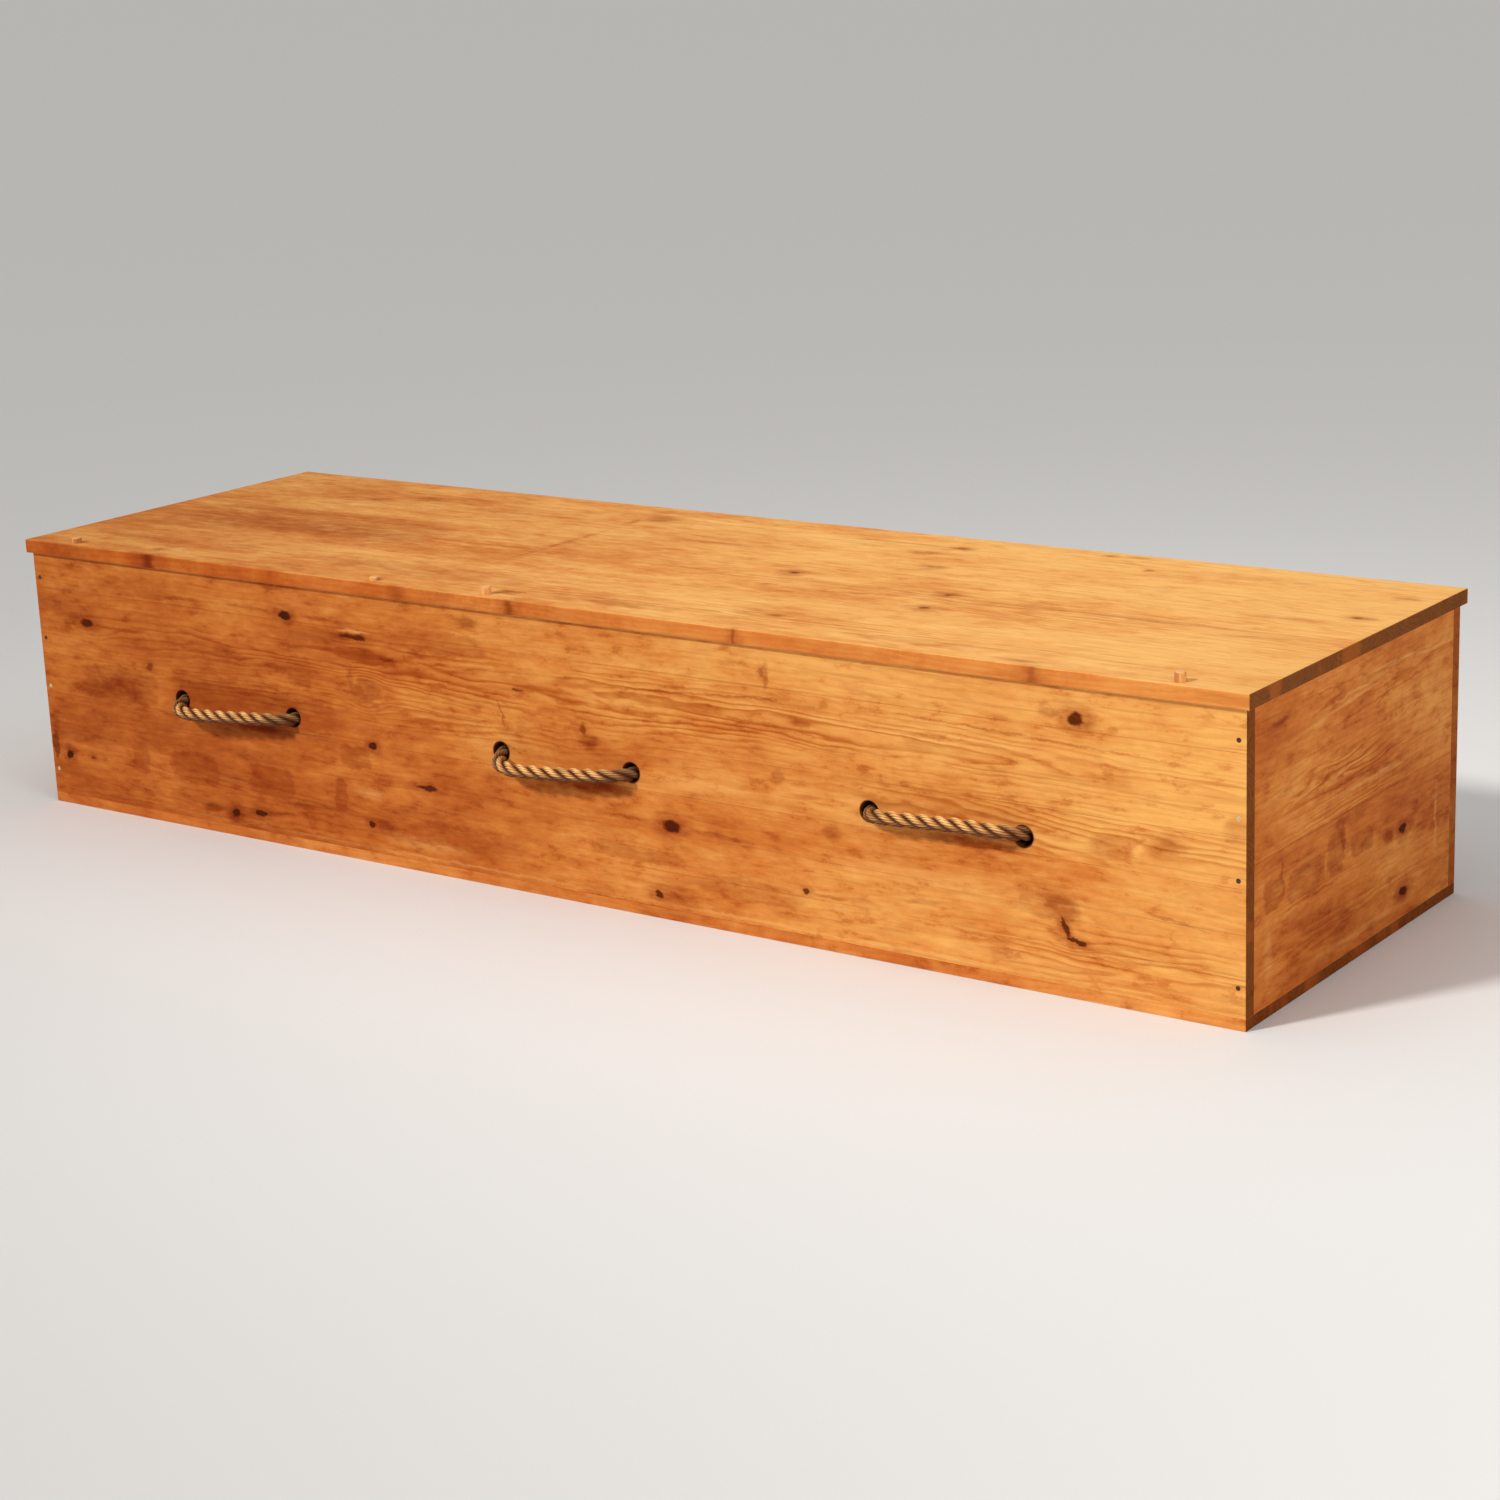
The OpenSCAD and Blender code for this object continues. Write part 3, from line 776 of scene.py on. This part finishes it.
def dowel(name, node, turn):
    """End grain of one dowel, with its rings off to one side and a dark rim."""
    wood = bpy.context.scene.coffin_wood
    material, start, surface = new_material(name)
    low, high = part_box(node)
    middle = (low + high) / 2
    point = at(start)
    point = point.node(
        "ShaderNodeMapping", {"vector_type": "TEXTURE"}, {0: point, 1: tuple(middle), 2: (0, 0, turn)}
    )
    x = point.split()
    y, z = x.also(1), x.also(2)
    reach = (x * x + y * y) ** 0.5
    offset = ((x - 0.016) * (x - 0.016) + y * y) ** 0.5
    ring = offset / 0.0021 + (point.noise(260, 3) - 0.5) * 0.6
    line = graded(ring.sum("FRACT", ring), [(0, 0.2), (0.5, 0.1), (0.9, 0.9), (1, 0.2)])
    streak = point.stretch(900, 900, 60).noise(1, 3)
    top = at(start, "Normal").split().also(2).between(0.5, 0.8)
    shade = blend(streak.between(0.35, 0.6), wood.honey, wood.gleam)
    side = (x - y).between(-0.002, 0.006) * (1 - top)
    shade = shade.mix(side * 0.6, rgb(wood.red))
    shade = shade.mix(line * top * 0.5, rgb(wood.line))
    shade = shade.mix(reach.between(0.0052, 0.0074, 0.0, 0.4) * top, rgb(wood.amber))
    # Painted shade round the foot of the dowel, where it stands out of the lid.
    shade = shade.mix((z + (high - low).z / 2).between(0.0275, 0.0245, 0.0, 0.8), rgb(wood.brown))
    join(start, surface, "Base Color", shade)
    join(start, surface, "Roughness", 0.5 + line * 0.15)
    bump(start, surface, line * 0.3 + streak * 0.7, 0.0003)
    return material


def manila(name, painted_shade=0.0):
    """Rope fibre, with painted highlights on the strands' crowns and tops, and painted shade in the
    grooves, underneath and where it goes into its holes.
    """
    rope = bpy.context.scene.coffin_rope
    material, start, surface = new_material(name)
    names = ("along", "around", "crown", "strand", "swell")
    along, around, crown, strand, swell = (attribute(start, x) for x in names)
    point = at(start)
    hair = gather(start, along * 90, around * 46, strand * 7.3).noise(1, 4, 0.65)
    tuft = gather(start, along * 24, around * 7, strand * 3.1).noise(1, 3)
    dirt = point.noise(34, 4)
    shade = blend(hair.between(0.32, 0.64), rope.tan, rope.straw)
    shade = shade.mix(tuft.between(0.42, 0.66, 0.0, 0.7), rgb(rope.tan))
    # Painted highlight on the outermost crowns of the strands.
    shade = shade.mix(swell.between(0.86, 0.99, 0.0, 0.55) * tuft.between(0.6, 0.4), rgb(rope.straw))
    # Painted shade down in the grooves between the yarns and between the strands.
    shade = shade.mix(crown.between(0.62, 0.1, 0.0, 0.8), rgb(rope.shade))
    shade = shade.mix(swell.between(0.92, 0.68, 0.0, 0.92), rgb(rope.shade))
    # Painted highlight on the strands where they face up, and painted shade on the rope's underside.
    lift = point.vector("SUBTRACT", attribute(start, "axis", "Vector")).split().also(2)
    lift = lift / (rope.diameter / 2)
    upwards = at(start, "Normal").split().also(2)
    painted_highlight = swell.between(0.9, 1.0) * upwards.between(0.0, 0.7)
    shade = shade.mix(painted_highlight * tuft.between(0.66, 0.4, 0.35, 0.95), rgb(rope.gleam))
    shade = shade.mix(lift.between(0.1, -0.6, 0.0, painted_shade), rgb(rope.shade))
    shade = shade.mix(upwards.between(0.15, -0.5, 0.0, painted_shade), rgb(rope.shade))
    shade = shade.mix(dirt.between(0.5, 0.75, 0.0, 0.4), rgb(rope.shade))
    # Painted shade near both ends, where the rope goes into its holes, broken up by the dirt noise.
    hole_shade = higher(along.between(0.075, 0.03, 0.0, painted_shade), along.between(0.2, 0.262, 0.0, painted_shade))
    hole_shade = hole_shade * dirt.between(0.3, 0.55, 0.6, 1.0)
    shade = shade.mix(hole_shade, rgb(rope.shade))
    join(start, surface, "Base Color", shade)
    join(start, surface, "Roughness", 0.72 + (hair - 0.5) * 0.3)
    surface.inputs["Specular IOR Level"].default_value = 0.3
    bump(start, surface, hair + crown * 0.4, 0.0004)
    return material


def iron(name, tint):
    """Nail metal: hammered and rusty in the hollows."""
    nails = bpy.context.scene.coffin_nails
    material, start, surface = new_material(name)
    point = at(start)
    dent = point.noise(700, 3)
    rust = point.noise(1500, 4, 0.6).between(0.48, 0.66, 0.0, 0.7)
    join(start, surface, "Base Color", blend(rust, tint, nails.rust))
    join(start, surface, "Metallic", 0.75 - rust * 0.7)
    join(start, surface, "Roughness", 0.4 + rust * 0.4)
    bump(start, surface, dent - rust * 0.5, 0.0003)
    return material


# ---------------------------------------------------------------- rope making


def smooth_line(points, step):
    """Evenly spaced points, metres, on a smooth line through points in millimetres."""
    marks = [Vector(p) / 1000 for p in points]
    ends = [marks[0] * 2 - marks[1], *marks, marks[-1] * 2 - marks[-2]]
    fine = []
    for p0, p1, p2, p3 in zip(ends, ends[1:], ends[2:], ends[3:]):
        t1 = (p1 - p0).length ** 0.5
        t2 = t1 + (p2 - p1).length ** 0.5
        t3 = t2 + (p3 - p2).length ** 0.5
        for i in range(24):
            t = t1 + (t2 - t1) * i / 24
            a1 = p0.lerp(p1, t / t1)
            a2 = p1.lerp(p2, (t - t1) / (t2 - t1))
            a3 = p2.lerp(p3, (t - t2) / (t3 - t2))
            b1 = a1.lerp(a2, t / t2)
            b2 = a2.lerp(a3, (t - t1) / (t3 - t1))
            fine.append(b1.lerp(b2, (t - t1) / (t2 - t1)))
    fine.append(marks[-1])
    run = [0.0]
    for a, b in zip(fine, fine[1:]):
        run.append(run[-1] + (b - a).length)
    count = max(2, round(run[-1] / step))
    line, k = [], 0
    for i in range(count + 1):
        want = run[-1] * i / count
        while k < len(run) - 2 and run[k + 1] < want:
            k += 1
        line.append(fine[k].lerp(fine[k + 1], (want - run[k]) / max(run[k + 1] - run[k], 1e-9)))
    return line


def line_length(line):
    return sum((b - a).length for a, b in zip(line, line[1:]))


ROPE_SIZES = [
    ("Strand Radius", "NodeSocketFloat"),
    ("Strand Offset", "NodeSocketFloat"),
    ("Lay", "NodeSocketFloat"),
    ("Yarn Lay", "NodeSocketFloat"),
    ("Yarns", "NodeSocketInt"),
    ("Sides", "NodeSocketInt"),
    ("Groove", "NodeSocketFloat"),
    ("Step", "NodeSocketFloat"),
    ("Splay", "NodeSocketFloat"),
    ("Hairs", "NodeSocketFloat"),
    ("Hair Length", "NodeSocketFloat"),
    ("Seed", "NodeSocketInt"),
    ("Finish", "NodeSocketMaterial"),
]


def rope_tree():
    """Geometry nodes that lay three strands of yarn round a line, with stray fibres."""
    if "twisted_rope" in bpy.data.node_groups:
        return bpy.data.node_groups["twisted_rope"]
    tree = bpy.data.node_groups.new("twisted_rope", "GeometryNodeTree")
    tree.interface.new_socket("Geometry", in_out="INPUT", socket_type="NodeSocketGeometry")
    for name, kind in ROPE_SIZES:
        tree.interface.new_socket(name, in_out="INPUT", socket_type=kind)
    tree.interface.new_socket("Geometry", in_out="OUTPUT", socket_type="NodeSocketGeometry")
    start = Wire(tree)
    given = start.node("NodeGroupInput")
    size_of = {name: given.also(name) for name, _ in ROPE_SIZES}

    def store(shape, name, value, kind="FLOAT"):
        return start.node(
            "GeometryNodeStoreNamedAttribute",
            {"data_type": kind, "domain": "POINT"},
            {"Geometry": shape, "Name": name, "Value": value},
        )

    def stored(name, kind="FLOAT"):
        return start.node("GeometryNodeInputNamedAttribute", {"data_type": kind}, {"Name": name})

    def circle(sides, radius):
        return start.node(
            "GeometryNodeCurvePrimitiveCircle",
            {"mode": "RADIUS"},
            {"Resolution": sides, "Radius": radius},
        )

    def sweep(line, outline):
        return start.node(
            "GeometryNodeCurveToMesh", None, {"Curve": line, "Profile Curve": outline, "Fill Caps": True}
        )

    line = start.node("GeometryNodeMeshToCurve", None, {"Mesh": given})
    line = line.node(
        "GeometryNodeResampleCurve", {"mode": "LENGTH"}, {"Curve": line, "Length": size_of["Step"]}
    )
    reach = start.node("GeometryNodeSplineParameter", None, None, "Length")
    line = store(line, "along", reach)
    whole = start.node("GeometryNodeSplineLength", None, None, "Length")
    three = line.node(
        "GeometryNodeDuplicateElements", {"domain": "SPLINE"}, {"Geometry": line, "Amount": 3}
    )
    number = three.also("Duplicate Index")
    here = start.node("GeometryNodeInputPosition")
    three = store(three, "axis", here, "FLOAT_VECTOR")
    strands = store(three, "strand", number)
    turn = reach * math.tau / size_of["Lay"] + number * (math.tau / 3)
    opened = (reach - whole).between(-0.014, 0.0) * size_of["Splay"] + 1
    normal = start.node("GeometryNodeInputNormal")
    ahead = start.node("GeometryNodeInputTangent")
    aside = ahead.vector("CROSS_PRODUCT", normal)
    across = size_of["Strand Offset"] * opened
    a = normal.scaled(turn.sum("COSINE", turn) * across)
    b = aside.scaled(turn.sum("SINE", turn) * across)
    offset = a.vector("ADD", b)
    strands = start.node("GeometryNodeSetPosition", None, {"Geometry": strands, "Offset": offset})
    tilt = stored("along") * -math.tau / size_of["Yarn Lay"]
    strands = start.node("GeometryNodeSetCurveTilt", None, {"Curve": strands, "Tilt": tilt})

    outline = circle(size_of["Sides"], 1.0)
    round_it = start.node("GeometryNodeSplineParameter", None, None, "Factor")
    wave = round_it * math.pi * size_of["Yarns"]
    crown = abs(wave.sum("SINE", wave)) ** 0.7
    outline = store(outline, "around", round_it)
    outline = store(outline, "crown", crown)
    grown = (1 - (1 - crown) * size_of["Groove"]) * size_of["Strand Radius"]
    spot = start.node("GeometryNodeInputPosition").scaled(grown)
    outline = start.node("GeometryNodeSetPosition", None, {"Geometry": outline, "Position": spot})
    body = sweep(strands, outline)
    body = start.node("GeometryNodeSetShadeSmooth", None, {0: body})
    axis = stored("axis", "FLOAT_VECTOR")
    away = here.vector("DISTANCE", axis, out="Value")
    body = store(body, "swell", away / (size_of["Strand Radius"] + size_of["Strand Offset"]))

    seeds = start.node(
        "GeometryNodeDistributePointsOnFaces",
        {"distribute_method": "RANDOM"},
        {"Mesh": body, "Density": size_of["Hairs"], "Seed": size_of["Seed"]},
    )
    bend = start.node(
        "GeometryNodeCurveQuadraticBezier",
        None,
        {"Resolution": 4, "Start": (0, 0, -0.03), "Middle": (0.45, 0.06, 0.2), "End": (1, -0.05, 0.26)},
    )
    hair = sweep(bend, circle(3, 0.017))
    spin = start.node(
        "FunctionNodeRandomValue",
        {"data_type": "FLOAT_VECTOR"},
        {0: (-0.12, -0.12, -math.pi), 1: (0.12, 0.12, math.pi), "Seed": size_of["Seed"]},
    )
    facing = start.node(
        "FunctionNodeRotateRotation", {"rotation_space": "LOCAL"}, {0: seeds.also("Rotation"), 1: spin}
    )
    long = start.node(
        "FunctionNodeRandomValue", {"data_type": "FLOAT"}, {2: 0.35, 3: 1.0, "Seed": size_of["Seed"]}, 1
    )
    hairs = start.node(
        "GeometryNodeInstanceOnPoints",
        None,
        {"Points": seeds, "Instance": hair, "Rotation": facing, "Scale": long * size_of["Hair Length"]},
    )
    hairs = start.node("GeometryNodeRealizeInstances", None, {0: hairs})
    hairs = store(store(store(hairs, "crown", 1.0), "swell", 1.0), "along", 0.05)

    whole_rope = start.node("GeometryNodeJoinGeometry")
    for part in (hairs, body):
        tree.links.new(part.socket, whole_rope.socket.node.inputs[0])
    whole_rope = start.node("GeometryNodeRealizeInstances", None, {0: whole_rope})
    whole_rope = start.node(
        "GeometryNodeSetMaterial", None, {"Geometry": whole_rope, "Material": size_of["Finish"]}
    )
    end = tree.nodes.new("NodeGroupOutput")
    tree.links.new(whole_rope.socket, end.inputs[0])
    return tree


def twist(name, line, finish, seed, thickness=1.0, step=None, sides=28, hairs=1.0, splay=0.0):
    """A plain mesh of rope along a line of points."""
    rope = bpy.context.scene.coffin_rope
    thread = bpy.data.meshes.new(name + "_line")
    thread.from_pydata([tuple(p) for p in line], [(i, i + 1) for i in range(len(line) - 1)], [])
    carrier = bpy.data.objects.new(name + "_line", thread)
    bpy.context.scene.collection.objects.link(carrier)
    radius = rope.diameter / 2 * thickness
    sizes = {
        "Strand Radius": radius * 0.5,
        "Strand Offset": radius * 0.54,
        "Lay": rope.lay * thickness,
        "Yarn Lay": rope.yarn_lay * thickness,
        "Yarns": rope.yarns,
        "Sides": sides,
        "Groove": rope.groove,
        "Step": step or rope.step,
        "Splay": splay,
        "Hairs": rope.hairs * hairs,
        "Hair Length": rope.hair,
        "Seed": seed,
        "Finish": finish,
    }
    modifier = carrier.modifiers.new("rope", "NODES")
    tree = rope_tree()
    modifier.node_group = tree
    for item in tree.interface.items_tree:
        if item.in_out == "INPUT" and item.name in sizes:
            modifier[item.identifier] = sizes[item.name]
    graph = bpy.context.evaluated_depsgraph_get()
    mesh = bpy.data.meshes.new_from_object(carrier.evaluated_get(graph), depsgraph=graph)
    mesh.name = name
    carrier.modifiers.clear()
    bpy.data.objects.remove(carrier)
    bpy.data.meshes.remove(thread)
    if len(mesh.polygons) < 100:
        raise RuntimeError(f"{name}: the rope has no surface")
    if not mesh.materials or mesh.materials[0] is None:
        mesh.materials.clear()
        mesh.materials.append(finish)
    piece = bpy.data.objects.new(name, mesh)
    bpy.context.scene.collection.objects.link(piece)
    return piece


def side_point(side, x, out, up):
    """A point seen from outside one long side, in millimetres of the box's frame."""
    turned = -1 if side == "back" else 1
    return Vector((turned * x, turned * (1000 * FRONT_LOW.y - out), up))


def rope_route(side, handle):
    middle, left, centre, right = HANDLES[handle]
    points = [side_point(side, middle - HOLE_REACH + a, b, HANDLE_HEIGHT + c) for a, b, c in left]
    points.append(side_point(side, middle, centre[0], HANDLE_HEIGHT + centre[1]))
    points += [side_point(side, middle + HOLE_REACH - a, b, HANDLE_HEIGHT + c) for a, b, c in right]
    return points


def knot_route(side, seat, turn):
    """The knot's line from its seat on the inner face, turned about the hole's middle."""
    inwards = -1 if side == "back" else 1
    line = []
    for deep, aside, up in KNOT:
        x = aside * math.cos(turn) - up * math.sin(turn)
        z = aside * math.sin(turn) + up * math.cos(turn)
        line.append(seat + Vector((x * inwards, (deep - 1) * inwards, z)))
    return line


def hole_rims(side):
    """The rope holes of one long side: along the board, up it, and radius."""
    turned = -1 if side == "back" else 1
    return [
        (turned * middle + end * HOLE_REACH, HANDLE_HEIGHT, HOLE_RADIUS)
        for middle, *_ in HANDLES.values()
        for end in (-1, 1)
    ]


def dress(node, material):
    """Gives a CAD node its finish."""
    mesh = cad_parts[node].data
    mesh.materials.clear()
    mesh.materials.append(material)


# ---------------------------------------------------------------- operators


class COFFIN_OT_camera(Operator):
    """Sets up the camera"""

    bl_idname = "coffin.camera"
    bl_label = "Camera"

    def execute(self, context):
        s = context.scene.coffin_stage
        az, el, roll = s.azimuth, s.elevation, s.roll
        back = Vector((math.sin(az) * math.cos(el), -math.cos(az) * math.cos(el), math.sin(el)))
        right = Vector((math.cos(az), math.sin(az), 0))
        up = back.cross(right)
        tilted_right = right * math.cos(roll) + up * math.sin(roll)
        tilted_up = up * math.cos(roll) - right * math.sin(roll)
        lens = bpy.data.cameras.new("camera")
        lens.lens = s.lens
        lens.sensor_width = 36
        lens.clip_start, lens.clip_end = 0.05, 200
        camera = bpy.data.objects.new("camera", lens)
        turned = Matrix((tilted_right, tilted_up, back)).transposed().to_4x4()
        camera.matrix_world = Matrix.Translation(Vector(s.target) + back * s.distance) @ turned
        context.scene.collection.objects.link(camera)
        context.scene.camera = camera
        return {"FINISHED"}


class COFFIN_OT_ropes(Operator):
    """Lays the six rope handles and ties their twelve knots"""

    bl_idname = "coffin.ropes"
    bl_label = "Rope handles"

    def execute(self, context):
        rope = context.scene.coffin_rope
        finish, plain = manila("manila_rope", 0.75), manila("manila_knot")
        count = 0
        for side in ("front", "back"):
            for handle in HANDLES:
                route = rope_route(side, handle)
                for end, seat in (("left", route[0]), ("right", route[-1])):
                    count += 1
                    line = smooth_line(knot_route(side, seat, count * 2.1), 0.002)
                    knot = twist(
                        f"{side}_{handle}_{end}_overhand_knot",
                        line,
                        plain,
                        seed=count,
                        thickness=rope.tight,
                        step=0.0018,
                        sides=14,
                        hairs=0.25,
                        splay=0.35,
                    )
                    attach(knot, "root")
                    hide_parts(f"{side}_{handle}_rope_{end}_knot")
                line = smooth_line(route, 0.001)
                piece = twist(f"{side}_{handle}_rope_handle", line, finish, 40 + count)
                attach(piece, "root")
                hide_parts(f"{side}_{handle}_rope")
                round(line_length(line), 3)
                [tuple(p) for p in line[::4]] + [tuple(line[-1])]
        return {"FINISHED"}


class COFFIN_OT_front_board(Operator):
    """Finishes the front board"""

    bl_idname = "coffin.front_board"
    bl_label = "Front board"

    def execute(self, context):
        dress("front_board", pine("front_pine", FRONT, rims=hole_rims("front")))
        return {"FINISHED"}


class COFFIN_OT_back_board(Operator):
    """Finishes the back board"""

    bl_idname = "coffin.back_board"
    bl_label = "Back board"

    def execute(self, context):
        dress("back_board", pine("back_pine", BACK, rims=hole_rims("back")))
        return {"FINISHED"}


class COFFIN_OT_end_boards(Operator):
    """Finishes the two end boards"""

    bl_idname = "coffin.end_boards"
    bl_label = "End boards"

    def execute(self, context):
        dress("right_end_board", pine("right_end_pine", RIGHT_END))
        dress("left_end_board", pine("left_end_pine", LEFT_END))
        return {"FINISHED"}


class COFFIN_OT_bottom_board(Operator):
    """Finishes the bottom board"""

    bl_idname = "coffin.bottom_board"
    bl_label = "Bottom board"

    def execute(self, context):
        dress("bottom_board", pine("bottom_pine", BOTTOM))
        return {"FINISHED"}


class COFFIN_OT_lid(Operator):
    """Finishes the lid"""

    bl_idname = "coffin.lid"
    bl_label = "Lid"

    def execute(self, context):
        dress("lid", pine("lid_pine", LID, edge_colour=(0.84, 0.6, 0.44)))
        return {"FINISHED"}


class COFFIN_OT_pegs(Operator):
    """Finishes the dowels that stand in the lid"""

    bl_idname = "coffin.pegs"
    bl_label = "Lid pegs"

    def execute(self, context):
        for i, node in enumerate(PEGS):
            dress(node, dowel(f"dowel_{i + 1}", node, 0.5 + i * 1.3))
        return {"FINISHED"}


class COFFIN_OT_nails(Operator):
    """Finishes the nails down the corners"""

    bl_idname = "coffin.nails"
    bl_label = "Nails"

    def execute(self, context):
        nails = context.scene.coffin_nails
        dark, bright = iron("dark_iron", nails.dark), iron("bright_iron", nails.bright)
        for node in NAILS:
            dress(node, bright if node in SHINING else dark)
        return {"FINISHED"}


class COFFIN_OT_stage(Operator):
    """Lays the floor and hangs the lights"""

    bl_idname = "coffin.stage"
    bl_label = "Stage"

    def execute(self, context):
        s = context.scene.coffin_stage
        count, radius = 64, 150
        turns = [math.tau * i / count for i in range(count)]
        rim = [(radius * math.cos(turn), radius * math.sin(turn), 0) for turn in turns]
        ground = bpy.data.meshes.new("floor")
        ground.from_pydata(rim, [], [tuple(range(count))])
        material, start, surface = new_material("pale_floor")
        join(start, surface, "Base Color", rgb(s.floor))
        join(start, surface, "Roughness", at(start).noise(30, 4) * 0.1 + 0.85)
        ground.materials.append(material)
        floor = bpy.data.objects.new("floor", ground)
        context.scene.collection.objects.link(floor)

        self.sun(context, "key", (-0.42, -0.7, 0.6), s.key, 7, (1, 0.97, 0.93))
        self.lamp(context, "overhead", (0.35, 0, 1.75), (0.35, 0, 0), 2.6, s.top, (1, 0.98, 0.95))
        self.lamp(context, "end_fill", (3.6, -1.6, 1.3), (1, 0, 0.2), 1.6, s.fill, (1, 0.96, 0.91))
        world = bpy.data.worlds.new("room")
        world.use_nodes = True
        sky = world.node_tree.nodes["Background"]
        sky.inputs["Color"].default_value = (1, 0.985, 0.965, 1)
        sky.inputs["Strength"].default_value = s.sky
        context.scene.world = world
        context.scene.view_settings.view_transform = "Standard"
        return {"FINISHED"}

    def sun(self, context, name, towards, power, spread, tint):
        light = bpy.data.lights.new(name, "SUN")
        light.energy, light.angle, light.color = power, math.radians(spread), tint
        holder = bpy.data.objects.new(name, light)
        holder.location = Vector(towards) * 5
        holder.rotation_euler = Vector(towards).to_track_quat("Z", "Y").to_euler()
        context.scene.collection.objects.link(holder)

    def lamp(self, context, name, place, aim, wide, power, tint):
        light = bpy.data.lights.new(name, "AREA")
        light.shape, light.size, light.energy, light.color = "DISK", wide, power, tint
        holder = bpy.data.objects.new(name, light)
        holder.location = place
        holder.rotation_euler = (Vector(aim) - Vector(place)).to_track_quat("-Z", "Y").to_euler()
        context.scene.collection.objects.link(holder)


class COFFIN_PT_panel(Panel):
    """Lists the coffin's settings and pieces"""

    bl_idname = "COFFIN_PT_panel"
    bl_label = "Coffin"
    bl_space_type = "VIEW_3D"
    bl_region_type = "UI"
    bl_category = "Coffin"

    def draw(self, context):
        for group in (s for s, _ in SETTINGS):
            box = self.layout.box()
            held = getattr(context.scene, group)
            for name in held.bl_rna.properties.keys():
                if name not in ("rna_type", "name"):
                    box.prop(held, name)
        for operator in MAKERS:
            self.layout.operator(operator.bl_idname)


SETTINGS = [
    ("coffin_wood", CoffinWood),
    ("coffin_rope", CoffinRope),
    ("coffin_nails", CoffinNails),
    ("coffin_stage", CoffinStage),
]
MAKERS = [
    COFFIN_OT_camera,
    COFFIN_OT_ropes,
    COFFIN_OT_front_board,
    COFFIN_OT_back_board,
    COFFIN_OT_end_boards,
    COFFIN_OT_bottom_board,
    COFFIN_OT_lid,
    COFFIN_OT_pegs,
    COFFIN_OT_nails,
    COFFIN_OT_stage,
]


def register():
    for name, group in SETTINGS:
        bpy.utils.register_class(group)
        setattr(bpy.types.Scene, name, PointerProperty(type=group))
    for maker in (*MAKERS, COFFIN_PT_panel):
        bpy.utils.register_class(maker)


def unregister():
    for maker in (COFFIN_PT_panel, *reversed(MAKERS)):
        bpy.utils.unregister_class(maker)
    for name, group in reversed(SETTINGS):
        delattr(bpy.types.Scene, name)
        bpy.utils.unregister_class(group)


def main():
    register()
    bpy.ops.coffin.camera()
    bpy.ops.coffin.ropes()
    bpy.ops.coffin.front_board()
    bpy.ops.coffin.back_board()
    bpy.ops.coffin.end_boards()
    bpy.ops.coffin.bottom_board()
    bpy.ops.coffin.lid()
    bpy.ops.coffin.pegs()
    bpy.ops.coffin.nails()
    bpy.ops.coffin.stage()


if __name__ == "__main__":
    main()
